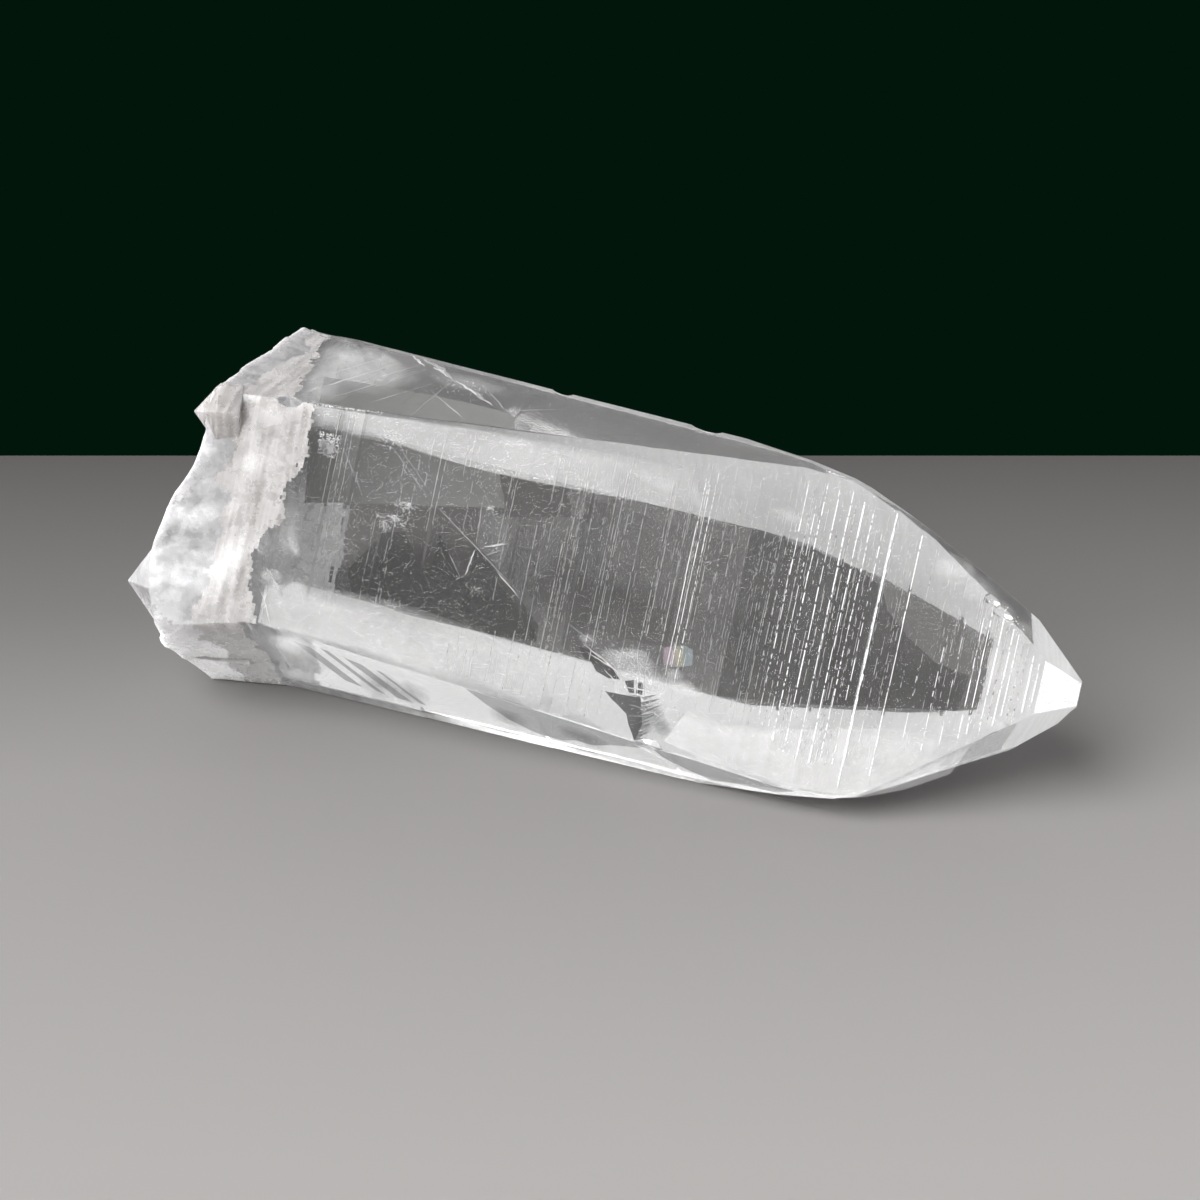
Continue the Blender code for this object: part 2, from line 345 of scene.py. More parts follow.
def round_off(grid):
    """Rounds the edges between the faces at the root, by averaging along each ring."""
    shifts = range(-ROUND_REACH, ROUND_REACH + 1)
    softer = sum(np.roll(grid, shift, axis=1) for shift in shifts) / len(shifts)
    share = smooth_step(ROUND_FROM, ROUND_FULL, grid[..., :1])
    share = share * smooth_step(0.0, FLAT_FOOT, grid[..., 2:])
    return grid + (softer - grid) * share


def roughen(grid):
    """Makes the root uneven and draws it back to follow the broken end."""
    rough = grid[:, 0, 0] < ROUGH_FROM
    part = grid[rough]
    centre = part.mean(axis=1, keepdims=True)
    outward = part - centre
    outward[..., 0] = 0
    outward /= np.linalg.norm(outward, axis=-1, keepdims=True)
    flat = part.reshape(-1, 3)
    large = np.array([noise.noise(Vector(p) / ROUGH_SCALE) for p in flat])
    small = np.array([crust(p) for p in flat])
    large, small = large.reshape(part.shape[:2]), small.reshape(part.shape[:2])
    bump = ROUGH_HEIGHT * large * smooth_step(ROUGH_FROM, ROUGH_FULL, part[..., 0])
    bump += small * smooth_step(ROUGH_FULL + 2.0, ROUGH_FULL - 1.0, part[..., 0])
    for place, radius, height in ROOT_LUMPS:
        distance = np.linalg.norm(part - np.array(place), axis=-1)
        bump += height * np.exp(-((distance / radius) ** 2))
    bump *= smooth_step(0.0, FLAT_FOOT, part[..., 2])
    new = part + outward * bump[..., None]
    reach = break_reach(part[..., 1], part[..., 2]) + small
    new[..., 0] -= reach * smooth_step(ROOT_X + BREAK_REACH, ROOT_X, part[..., 0])
    new[..., 2] = np.maximum(new[..., 2], 0.0)
    grid[rough] = new
    return grid


def bridge(bm, ring_a, ring_b):
    """A strip of faces between two rings of as many points."""
    count = len(ring_a)
    for i in range(count):
        j = (i + 1) % count
        bm.faces.new((ring_a[i], ring_a[j], ring_b[j], ring_b[i]))


def main_crystal():
    """The main crystal, closed by the broken end at the root and a small face at the tip."""
    grid = main_grid()
    bm = bmesh.new()
    rings = [[bm.verts.new(p) for p in ring] for ring in grid]
    for ring_a, ring_b in zip(rings, rings[1:]):
        bridge(bm, ring_a, ring_b)
    outer = grid[0]
    centre = outer.mean(axis=0)
    last = rings[0]
    for step in range(1, BREAK_RINGS):
        keep = 1.0 - step / BREAK_RINGS
        points = centre + (outer - centre) * keep
        reach = break_reach(points[:, 1], points[:, 2]) + BREAK_BULGE * (1 - keep * keep)
        reach += np.array([crust((ROOT_X, p[1], p[2])) for p in points])
        points[:, 0] = ROOT_X - reach
        ring = [bm.verts.new(p) for p in points]
        bridge(bm, ring, last)
        last = ring
    middle = bm.verts.new(centre)
    middle.co.x = sum(vert.co.x for vert in last) / len(last)
    for i, vert in enumerate(last):
        bm.faces.new((vert, last[(i + 1) % len(last)], middle))
    bm.faces.new(rings[-1])
    bmesh.ops.recalc_face_normals(bm, faces=bm.faces[:])
    return bm


def side_crystal(apex, points, across, length, spin):
    """A six-sided prism with a pointed end and slightly worn edges."""
    bm = bmesh.new()
    radius = across / 2
    shoulder = -radius / math.tan(math.radians(RHOMB)) * SIDE_CONE
    rings = []
    for depth in (-length, shoulder):
        ring = []
        for k in range(6):
            turn = math.radians(60 * k + spin)
            ring.append(bm.verts.new((radius * math.cos(turn), radius * math.sin(turn), depth)))
        rings.append(ring)
    end = bm.verts.new((0.0, 0.0, 0.0))
    bridge(bm, rings[0], rings[1])
    for i in range(6):
        bm.faces.new((rings[1][i], rings[1][(i + 1) % 6], end))
    bm.faces.new(rings[0])
    bmesh.ops.bevel(bm, geom=bm.edges[:], offset=WORN_EDGE, segments=1, affect="EDGES")
    turn = Vector(points).to_track_quat("Z", "Y").to_matrix().to_4x4()
    bm.transform(Matrix.Translation(apex) @ turn)
    bmesh.ops.recalc_face_normals(bm, faces=bm.faces[:])
    return bm


def bite(centre, size):
    """A small angular lump, used as the hollow that a lost flake leaves."""
    bm = bmesh.new()
    bmesh.ops.create_icosphere(bm, subdivisions=1, radius=1.0)
    for vert in bm.verts:
        vert.co *= 1.0 + 0.25 * noise.noise(vert.co * 2.0 + Vector(centre))
    bm.transform(Matrix.Translation(centre) @ Matrix.Diagonal((*size, 1.0)))
    return bm


def chip(edge, x, size):
    """The hollow of a chip on an edge between two faces."""
    y, z = section_corners(np.array([float(x)]))[edge]
    return bite((x, float(y[0]), float(z[0])), size)


def combine(obj, others, operation):
    """Joins the other objects to this one, or cuts them from it. Each keeps its own slot."""
    for other in others:
        modifier = obj.modifiers.new(operation.lower(), "BOOLEAN")
        modifier.operation = operation
        modifier.solver = "MANIFOLD"
        modifier.object = other
        graph = bpy.context.evaluated_depsgraph_get()
        result = bpy.data.meshes.new_from_object(obj.evaluated_get(graph))
        obj.modifiers.clear()
        obj.data = result
        bpy.data.objects.remove(other, do_unlink=True)


# ---------------------------------------------------------------- materials
QUARTZ_IOR = 1.544
# How far light wanders in milky quartz, in mm, and the heights above the table between which
# painted light makes the root paler towards its foot, which the lamps barely reach.
MILKY_DEPTH = 6.0
FOOT_PAINTED_LIGHT = (15.0, 7.0)


class Nodes:
    """Writes a node tree as plain expressions."""

    def __init__(self, tree):
        self.tree = tree
        self.links = tree.links

    def make(self, kind, **settings):
        """A new node with these settings."""
        made = self.tree.nodes.new(kind)
        for key, value in settings.items():
            setattr(made, key, value)
        return made

    def feed(self, socket, value):
        """Links an output to this input, or gives the input a plain value."""
        if isinstance(value, bpy.types.NodeSocket):
            self.links.new(value, socket)
        else:
            socket.default_value = value

    def maths(self, operation, *values):
        """The result of a sum, product or other operation."""
        made = self.make("ShaderNodeMath", operation=operation)
        for socket, value in zip(made.inputs, values):
            self.feed(socket, value)
        return made.outputs[0]

    def blend(self, first, second, share):
        """This share of the first value with the rest of the second."""
        part = self.maths("MULTIPLY", first, share)
        return self.maths("ADD", part, self.maths("MULTIPLY", second, 1.0 - share))

    def ramp(self, value, low, high, to_low=0.0, to_high=1.0):
        """A smooth rise or fall between two values."""
        made = self.make("ShaderNodeMapRange", interpolation_type="SMOOTHSTEP")
        self.feed(made.inputs["Value"], value)
        made.inputs["From Min"].default_value = low
        made.inputs["From Max"].default_value = high
        made.inputs["To Min"].default_value = to_low
        made.inputs["To Max"].default_value = to_high
        return made.outputs["Result"]

    def dot(self, direction, vector):
        """How far an output's vector goes along a fixed one."""
        made = self.make("ShaderNodeVectorMath", operation="DOT_PRODUCT")
        self.links.new(direction, made.inputs[0])
        made.inputs[1].default_value = vector
        return made.outputs["Value"]

    def place(self, scale=(1.0, 1.0, 1.0)):
        """Object coordinates in millimetres, each multiplied by its scale."""
        spot = self.make("ShaderNodeTexCoord").outputs["Object"]
        sized = self.make("ShaderNodeMapping")
        self.links.new(spot, sized.inputs["Vector"])
        sized.inputs["Scale"].default_value = tuple(s / MM for s in scale)
        return sized.outputs["Vector"]

    def noise(self, vector, scale, detail=3.0, rough=0.55, distortion=0.0):
        """Cloudy noise of this scale."""
        made = self.make("ShaderNodeTexNoise")
        self.links.new(vector, made.inputs["Vector"])
        made.inputs["Scale"].default_value = scale
        made.inputs["Detail"].default_value = detail
        made.inputs["Roughness"].default_value = rough
        made.inputs["Distortion"].default_value = distortion
        return made.outputs["Fac"]

    def height(self):
        """Height above the table in millimetres."""
        split = self.make("ShaderNodeSeparateXYZ")
        self.links.new(self.place(), split.inputs[0])
        return split.outputs["Z"]

    def mix(self, factor, a, b):
        """The first colour where the factor is 0 and the second where it is 1."""
        made = self.make("ShaderNodeMix", data_type="RGBA")
        self.feed(made.inputs["Factor"], factor)
        self.feed(made.inputs["A"], a)
        self.feed(made.inputs["B"], b)
        return made.outputs["Result"]

    def bump(self, height, distance):
        """A normal for relief of this depth in millimetres."""
        made = self.make("ShaderNodeBump")
        made.inputs["Strength"].default_value = 1.0
        made.inputs["Distance"].default_value = distance * MM
        self.links.new(height, made.inputs["Height"])
        return made.outputs["Normal"]


def principled(name, colour, roughness, transmission, ior=QUARTZ_IOR):
    """A plain material, with its shader and its node tree to add to."""
    material = bpy.data.materials.new(name)
    material.use_nodes = True
    shader = material.node_tree.nodes["Principled BSDF"]
    shader.inputs["Base Color"].default_value = (*colour, 1.0)
    shader.inputs["Roughness"].default_value = roughness
    shader.inputs["IOR"].default_value = ior
    shader.inputs["Transmission Weight"].default_value = transmission
    return material, shader, Nodes(material.node_tree)


def clear_quartz():
    """The bright faces: glass-clear, with fine growth lines that deepen towards the tip."""
    material, shader, nodes = principled("clear_quartz_fine", (0.985, 0.985, 0.985), 0.0, 1.0)
    lines = nodes.noise(nodes.place((1.0, 0.03, 0.03)), 2.6, 3.0)
    along = nodes.make("ShaderNodeSeparateXYZ")
    nodes.links.new(nodes.make("ShaderNodeTexCoord").outputs["Object"], along.inputs[0])
    patches = nodes.noise(nodes.place(), 0.12, 2.0)
    share = nodes.ramp(along.outputs["X"], -0.012, 0.012, 0.10, 0.8)
    share = nodes.maths("MULTIPLY", share, nodes.ramp(patches, 0.35, 0.6, 0.35, 1.0))
    worms = nodes.noise(nodes.place(), 0.95, 1.0, 0.4, 1.6)
    near_level = nodes.maths("ABSOLUTE", nodes.maths("SUBTRACT", worms, 0.5))
    smudge = nodes.ramp(near_level, 0.0, 0.025)
    colour = nodes.mix(smudge, (0.85, 0.855, 0.85, 1.0), (0.985, 0.985, 0.985, 1.0))
    nodes.feed(shader.inputs["Base Color"], colour)
    height = nodes.maths("MULTIPLY", lines, share)
    height = nodes.maths("ADD", height, nodes.maths("MULTIPLY", smudge, 0.08))
    nodes.feed(shader.inputs["Normal"], nodes.bump(height, 0.035))
    return material


def striated_quartz():
    """The faces behind and beneath: finely striated, so that half of the light scatters."""
    material, shader, nodes = principled("striated_quartz", (0.98, 0.98, 0.98), 0.2, 0.4)
    lines = nodes.noise(nodes.place((1.0, 0.04, 0.04)), 1.8, 4.0)
    patches = nodes.noise(nodes.place(), 0.10, 3.0)
    tone = nodes.blend(lines, patches, 0.6)
    tone = nodes.ramp(tone, 0.38, 0.58)
    colour = nodes.mix(tone, (0.90, 0.90, 0.90, 1.0), (1.0, 1.0, 1.0, 1.0))
    nodes.feed(shader.inputs["Base Color"], colour)
    nodes.feed(shader.inputs["Normal"], nodes.bump(lines, 0.01))
    return material


def milky(shader):
    """Lets light wander through the quartz, as it does where cracks and bubbles cloud it."""
    shader.inputs["Subsurface Weight"].default_value = 1.0
    shader.inputs["Subsurface Radius"].default_value = (1.0, 1.0, 1.0)
    shader.inputs["Subsurface Scale"].default_value = MILKY_DEPTH * MM


def frosted_quartz():
    """The etched plate at the root: grey-white with a touch of warmth, and half see-through."""
    material, shader, nodes = principled("frosted_quartz", (0.90, 0.875, 0.87), 0.35, 0.45)
    spot = nodes.place()
    lines = nodes.noise(nodes.place((1.0, 0.07, 0.07)), 1.6, 3.0)
    clouds = nodes.noise(spot, 0.30, 5.0, 0.65)
    tone = nodes.blend(lines, clouds, 0.6)
    tone = nodes.ramp(tone, 0.40, 0.60)
    colour = nodes.mix(tone, (0.32, 0.303, 0.296, 1.0), (0.50, 0.482, 0.477, 1.0))
    # Painted light: paler towards the foot, which the lamps barely reach.
    colour = nodes.mix(nodes.ramp(nodes.height(), *FOOT_PAINTED_LIGHT), colour, (0.66, 0.65, 0.65, 1.0))
    nodes.feed(shader.inputs["Base Color"], colour)
    grain = nodes.noise(spot, 0.7, 6.0, 0.65)
    nodes.feed(shader.inputs["Roughness"], nodes.ramp(grain, 0.35, 0.65, 0.12, 0.45))
    height = nodes.maths("ADD", grain, nodes.maths("MULTIPLY", lines, 0.6))
    nodes.feed(shader.inputs["Normal"], nodes.bump(height, 0.05))
    shader.inputs["Coat Weight"].default_value = 0.4
    shader.inputs["Coat Roughness"].default_value = 0.08
    milky(shader)
    return material


def crust_quartz():
    """The broken root: glassy facets over a milky inside."""
    material, shader, nodes = principled("crust_quartz", (0.93, 0.925, 0.935), 0.2, 0.22)
    spot = nodes.place()
    clouds = nodes.noise(spot, 0.22, 5.0, 0.6)
    streaks = nodes.noise(nodes.place((0.5, 1.0, 0.08)), 1.1, 4.0, 0.6)
    tone = nodes.blend(streaks, clouds, 0.6)
    tone = nodes.ramp(tone, 0.40, 0.58)
    colour = nodes.mix(tone, (0.19, 0.186, 0.19, 1.0), (0.28, 0.275, 0.28, 1.0))
    # Painted light: paler towards the foot, which the lamps barely reach.
    colour = nodes.mix(nodes.ramp(nodes.height(), *FOOT_PAINTED_LIGHT), colour, (0.95, 0.94, 0.95, 1.0))
    nodes.feed(shader.inputs["Base Color"], colour)
    grain = nodes.noise(spot, 0.8, 5.0, 0.6)
    nodes.feed(shader.inputs["Roughness"], nodes.ramp(grain, 0.42, 0.62, 0.2, 0.45))
    nodes.feed(shader.inputs["Normal"], nodes.bump(grain, 0.05))
    shader.inputs["Coat Weight"].default_value = 0.1
    shader.inputs["Coat Roughness"].default_value = 0.1
    milky(shader)
    return material


def white_quartz(name, colour, transmission):
    """Bruised, powdery quartz: the ridges, crumbs and flakes."""
    material, shader, nodes = principled(name, colour, 0.35, transmission)
    grain = nodes.noise(nodes.place(), 2.0, 2.0)
    nodes.feed(shader.inputs["Roughness"], nodes.ramp(grain, 0.3, 0.7, 0.2, 0.5))
    return material


# Used for veils, and for films of painted light and shade.
def veil(name, colour, cover, grain_depth=0.4):
    """A thin film inside the crystal that hides this share of what lies behind it."""
    material, shader, nodes = principled(name, colour, 0.5, 0.0)
    shader.inputs["Alpha"].default_value = cover
    grain = nodes.noise(nodes.place(), 0.8, 3.0)
    darker = tuple((1.0 - grain_depth) * c for c in colour)
    tone = nodes.ramp(grain, 0.35, 0.65)
    nodes.feed(shader.inputs["Base Color"], nodes.mix(tone, (*darker, 1.0), (*colour, 1.0)))
    return material


# ---------------------------------------------------------------- the crystal
def frost_edge(point, normal):
    """The x at which the frosting ends beside this point."""
    if normal.z > 0.75:
        edge, slant = FROST_TOP
        edge += slant * (point.y + 8.0)
    elif normal.z < -0.2:
        edge = FROST_UNDER
    else:
        heights, places = zip(*FROST_FRONT)
        edge = float(np.interp(point.z, heights, places))
    return edge + 0.8 * noise.noise(point / 1.5) + 0.35 * noise.noise(point / 0.5)


def slot_for(point, normal):
    """Which of the crystal's materials a small piece of its surface has."""
    behind = normal.y > 0.2 or normal.z < -0.75
    crust_from = CRUST_BEHIND if behind else CRUST_FROM
    if point.x < crust_from + 1.6 * noise.noise(point / 2.5):
        return CRUST
    if not behind and point.x < frost_edge(point, normal):
        return FROSTED
    lower_back = normal.y > 0.5 and normal.z < 0.1
    if behind and (not lower_back or normal.x > TIP_LEAN):
        return STRIATED
    return CLEAR


QUARTZ = (clear_quartz(), striated_quartz(), frosted_quartz(), crust_quartz())
crystal = as_object("crystal_fine", main_crystal(), QUARTZ)
for poly in crystal.data.polygons:
    poly.material_index = slot_for(poly.center, poly.normal)
grown = [
    as_object("grown", side_crystal(*spec), QUARTZ, slot)
    for spec, slot in zip(SIDE_CRYSTALS, SIDE_SLOTS)
]
combine(crystal, grown, "UNION")
lost = [as_object("lost", bite(*PIT), QUARTZ, CRUST)]
for spec in CHIPS:
    lost.append(as_object("lost", chip(*spec), QUARTZ, CRUST if spec[1] < CRUST_CHIPS else CLEAR))
combine(crystal, lost, "DIFFERENCE")
surface = BVHTree.FromPolygons(
    [v.co.copy() for v in crystal.data.vertices], [p.vertices[:] for p in crystal.data.polygons]
)
to_scene(crystal)
crystal.data.shade_smooth()
crystal.data.set_sharp_from_angle(angle=math.radians(12))
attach(crystal, "root")
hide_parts("quartz_crystal")


# ---------------------------------------------------------------- growth striae
# Broken white lines across the front face: x, lowest and highest share of the face's width,
# line width in mm, and the share of the line that shows.
FAINT_LINES = (
    (-29.4, 0.42, 0.97, 0.1, 0.94), (-28.9, 0.4, 0.9, 0.07, 0.9), (-28.3, 0.38, 0.97, 0.1, 0.94),
    (-27.7, 0.45, 0.98, 0.07, 0.9), (-26.4, 0.3, 0.8, 0.05, 0.5), (-17.9, 0.55, 0.92, 0.09, 0.94),
    (-17.4, 0.58, 0.85, 0.05, 0.8), (-10.2, 0.52, 0.82, 0.08, 0.9), (-9.6, 0.5, 0.8, 0.06, 0.8),
    (-6.6, 0.34, 0.66, 0.08, 0.9), (-3.6, 0.2, 0.62, 0.14, 0.94), (-2.9, 0.18, 0.86, 0.09, 0.8),
    (-2.3, 0.22, 0.86, 0.08, 0.8), (-1.2, 0.2, 0.8, 0.07, 0.7), (0.9, 0.26, 0.88, 0.09, 0.8),
    (1.6, 0.22, 0.9, 0.1, 0.85), (2.5, 0.28, 0.92, 0.08, 0.7), (4.1, 0.3, 0.86, 0.08, 0.7),
    (6.4, 0.26, 0.9, 0.1, 0.8), (6.9, 0.34, 0.9, 0.12, 0.94), (8.6, 0.26, 0.9, 0.08, 0.7),
    (11.3, 0.26, 0.97, 0.09, 0.8), (12.6, 0.26, 0.92, 0.07, 0.6), (13.6, 0.22, 0.92, 0.08, 0.6),
    (15.1, 0.2, 0.96, 0.06, 0.6), (16.6, 0.22, 0.8, 0.06, 0.5), (17.6, 0.2, 0.84, 0.08, 0.6),
    (18.3, 0.18, 0.7, 0.09, 0.6), (19, 0.16, 0.74, 0.12, 0.6), (20.6, 0.15, 0.96, 0.13, 0.66),
    (22.4, 0.16, 0.96, 0.12, 0.55), (23.7, 0.14, 0.95, 0.1, 0.55), (25, 0.12, 0.94, 0.12, 0.6),
    (26.4, 0.1, 0.93, 0.12, 0.6), (27.5, 0.08, 0.93, 0.1, 0.55), (41.2, 0.08, 0.9, 0.11, 0.6),
    (42.4, 0.08, 0.92, 0.12, 0.7), (44.2, 0.08, 0.94, 0.15, 0.8), (44.8, 0.08, 0.92, 0.14, 0.7),
    (-13.1, 0.02, 0.15, 0.1, 0.9), (-12.2, 0.03, 0.2, 0.07, 0.8), (-11.2, 0.02, 0.14, 0.12, 0.94),
    (-10.4, 0.02, 0.22, 0.06, 0.8), (-8.6, 0.02, 0.24, 0.1, 0.9), (-7.8, 0.04, 0.16, 0.07, 0.8),
    (-6.6, 0.02, 0.26, 0.12, 0.9), (-5.7, 0.03, 0.18, 0.07, 0.8), (-4.6, 0.02, 0.24, 0.09, 0.9),
    (-2.4, 0.02, 0.22, 0.12, 0.94), (-1.3, 0.03, 0.18, 0.07, 0.8), (0.3, 0.02, 0.24, 0.1, 0.9),
    (1.4, 0.03, 0.2, 0.07, 0.8), (2.3, 0.02, 0.16, 0.12, 0.9), (3.6, 0.03, 0.14, 0.07, 0.8),
)
BRIGHT_LINES = (
    (9.6, 0.24, 0.92, 0.11, 0.9), (10.1, 0.26, 0.9, 0.1, 0.85), (10.7, 0.24, 0.95, 0.1, 0.85),
    (19.9, 0.18, 0.95, 0.13, 0.74), (21.1, 0.18, 0.9, 0.1, 0.66), (21.75, 0.12, 0.97, 0.15, 0.8),
    (23.1, 0.1, 0.96, 0.15, 0.8), (24.5, 0.08, 0.97, 0.17, 0.84), (25.8, 0.08, 0.96, 0.17, 0.82),
    (26.9, 0.12, 0.95, 0.15, 0.78), (28.2, 0.1, 0.9, 0.12, 0.6), (30.4, 0.1, 0.5, 0.07, 0.45),
    (32.1, 0.04, 0.98, 0.15, 0.86), (34.6, 0.15, 0.45, 0.07, 0.35), (36.6, 0.06, 0.6, 0.13, 0.62),
    (38.2, 0.06, 0.8, 0.09, 0.45), (39.9, 0.05, 0.85, 0.12, 0.62), (40.6, 0.05, 0.93, 0.16, 0.8),
    (41.8, 0.05, 0.95, 0.16, 0.8), (43, 0.05, 0.95, 0.14, 0.85), (43.6, 0.1, 0.95, 0.15, 0.85),
    (46.2, 0.15, 0.85, 0.14, 0.8),
)
LEDGE_LINES = (
    (29.2, 0.02, 0.99, 0.34, 0.97), (45.5, 0.1, 0.9, 0.16, 0.8),
)
# Many faint hair lines between them: how many, from and to which x, and their width.
HAIR_LINES = ((10, -24.0, -6.0, 0.035), (44, -6.0, 17.0, 0.05), (80, 16.0, 46.0, 0.06))
# The lines are ridges, made at this share of their width, and they rise from under the face.
RIDGE_WIDTH_SHARE = 0.72
RIDGE_HEIGHT = 0.035
RIDGE_FOOT = 0.08
# Dashes in mm: the least and the usual longest, the usual one, the least shown and least gap.
DASH = (0.22, 3.0)
USUAL_DASH = 1.0
LEAST_SHOWN = 0.1
LEAST_GAP = 0.05


def front_point(x, share):
    """The point on the front face at x, this share of the way up its width."""
    corners = section_corners(np.array([float(x)]))
    (y0, z0), (y1, z1) = corners[0], corners[1]
    low, high = Vector((x, float(y0[0]), float(z0[0]))), Vector((x, float(y1[0]), float(z1[0])))
    return low.lerp(high, share)


def ridge(bm, start, end, width):
    """A low ridge between two points of the front face, tapered at its top and its ends."""
    turn = math.radians(FACES[0]["turn"])
    out = Vector((0.2, -math.cos(turn), math.sin(turn))).normalized()
    run = (end - start).normalized()
    half, crest = Vector((width / 2, 0.0, 0.0)), Vector((width / 5, 0.0, 0.0))
    trim = run * min(width, (end - start).length * 0.3)
    foot = [start - half, start + half, end + half, end - half]
    top = [start - crest + trim, start + crest + trim, end + crest - trim, end - crest - trim]
    low = [bm.verts.new(p - out * RIDGE_FOOT) for p in foot]
    high = [bm.verts.new(p + out * RIDGE_HEIGHT) for p in top]
    bm.faces.new(high)
    bm.faces.new(low[::-1])
    for i in range(4):
        j = (i + 1) % 4
        bm.faces.new((low[i], low[j], high[j], high[i]))


def broken_line(bm, rng, line):
    """One growth line, cut into dashes that show the given share of it."""
    x, low, high, width, share = line
    bottom, top = front_point(x, low), front_point(x, high)
    length = (top - bottom).length
    here = rng.uniform(0.0, 0.6)
    longest = DASH[1] * rng.uniform(0.4, 1.7)
    while here < length:
        run = DASH[0] + (longest - DASH[0]) * rng.random() ** 2
        gap = USUAL_DASH * (1.0 - share) / share * rng.uniform(0.2, 1.8)
        stop = min(here + run, length)
        if stop - here > LEAST_SHOWN:
            aside = Vector((rng.uniform(-0.04, 0.04), 0.0, 0.0))
            start = bottom.lerp(top, here / length) + aside
            end = bottom.lerp(top, stop / length) + aside
            ridge(bm, start, end, RIDGE_WIDTH_SHARE * width * rng.uniform(0.6, 1.3))
        here = stop + max(gap, LEAST_GAP)


def hair_lines(rng):
    """Rows like those of the named lines, at random places."""
    lines = []
    for count, first, last, width in HAIR_LINES:
        for _ in range(count):
            low, length = rng.uniform(0.1, 0.8), rng.uniform(0.15, 0.7)
            share = rng.uniform(0.35, 0.8)
            lines.append((rng.uniform(first, last), low, min(low + length, 0.97), width, share))
    return tuple(lines)


def piece(name, bm, material):
    """A finished piece of the crystal, from a mesh built in millimetres."""
    obj = to_scene(as_object(name, bm, [material]))
    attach(obj, "root")


RIDGES = (
    ("striae_faint", FAINT_LINES, white_quartz("faint_ridge", (0.70, 0.69, 0.68), 0.75)),
    ("striae_bright", BRIGHT_LINES, white_quartz("bright_ridge", (0.98, 0.98, 0.98), 0.05)),
    ("striae_ledges", LEDGE_LINES, white_quartz("ledge_flank", (0.99, 0.99, 0.99), 0.0)),
)
for seed, (name, lines, material) in enumerate(RIDGES, start=11):
    rng = np.random.default_rng(seed)
    # Every table draws the hair lines, and only the faint one keeps them.
    hairs = hair_lines(rng)
    if lines is FAINT_LINES:
        lines += hairs
    bm = bmesh.new()
    for line in lines:
        broken_line(bm, rng, line)
    bmesh.ops.recalc_face_normals(bm, faces=bm.faces[:])
    piece(name, bm, material)


# ---------------------------------------------------------------- inclusions, and painted light and shade
# Outlines drawn on a face as (x, z), or (x, y) on the top face.
PHANTOM = (
    (-22.6, 22.8), (-20.2, 23), (-17.8, 19.8), (-16.6, 19.7), (-16.5, 23.1), (-15.3, 21.7),
    (-13.4, 19.5), (-12.6, 19.7), (-12.6, 22.2), (-11.6, 21.9), (-9.6, 20.2), (-6.8, 18),
    (-4.3, 15.7), (-4.2, 14.2), (-8, 14.3), (-10.6, 14.6), (-18.3, 15.4), (-21, 16), (-22.9, 16.5),
)
PHANTOM_SIDE = ((-25.4, 19.0), (-22.9, 22.0), (-22.9, 16.6), (-24.8, 17.0))
PHANTOM_CORE = (
    (-12.2, 20), (-9.8, 19.4), (-7, 17.4), (-4.6, 15.3), (-4.5, 14.3), (-9.5, 14.5), (-12.8, 16.4),
)
PALE_WEDGE = ((-12.7, 27.3), (-8.9, 23.6), (-9.3, 20.8), (-11.6, 21.9), (-12.5, 22.5))
FRACTURE = (
    ((0.2, 14.3), (1.5, 13.9), (3, 13.3), (2.6, 12.7), (1.1, 13.2)),
    ((1.9, 12.9), (3.3, 12.9), (4.1, 12.6), (5.2, 11.6), (4, 11.6), (2.6, 12.1)),
    ((5.7, 11.5), (6.6, 11.7), (6.9, 10.5), (6.4, 10.5)),
    ((7, 11.5), (7.6, 11.5), (7.8, 10.4), (7.1, 10.5)),
    (
        (3.9, 10.4), (5.3, 10.3), (7.6, 10.3), (7.8, 9.8), (8.1, 8.7), (8.4, 7.8), (8, 6.1),
        (7.5, 6.9), (7, 7.6), (6.6, 8.5), (5.6, 9.2), (4.8, 9.7),
    ),
)
# Teeth along the fracture's far side: height, how far each reaches, and its rise.
TEETH = (
    (10.1, 1.3, 0.5), (9.6, 1.9, 0.7), (9.2, 1.2, 0.4), (8.8, 2.1, 0.9), (8.4, 1.5, 0.5), (8, 2, 1),
    (7.6, 1.3, 0.7), (7.2, 1.7, 0.9), (6.8, 1, 0.4), (6.4, 1.4, 0.8),
)
SPLINTERS = tuple(
    ((7.7, z + 0.12), (7.9 + reach, z + rise), (8.1, z - 0.16)) for z, reach, rise in TEETH
)
# Painted shade: a dark film under the front face near the tip, where the bent view shows dark.
END_SHADE = (
    (15.2, 26.6), (21.3, 25.6), (25.6, 24.2), (29.3, 22.6), (30.4, 20.4), (33, 18.2), (36.2, 16.2),
    (39.8, 15.3), (39.4, 12.1), (27.2, 11.4), (21.7, 11), (15.3, 11.1),
)
# Painted shade: a grey film deep behind the front face, hiding what would show through the crystal
# there.
BACK_SHADE = (
    (-33.6, 32.6), (-28.6, 32.2), (-22.2, 31.6), (-17, 30.8), (-12.1, 29.8), (-10.6, 26.4),
    (-17.4, 26), (-27.6, 25.4), (-32.5, 25),
)
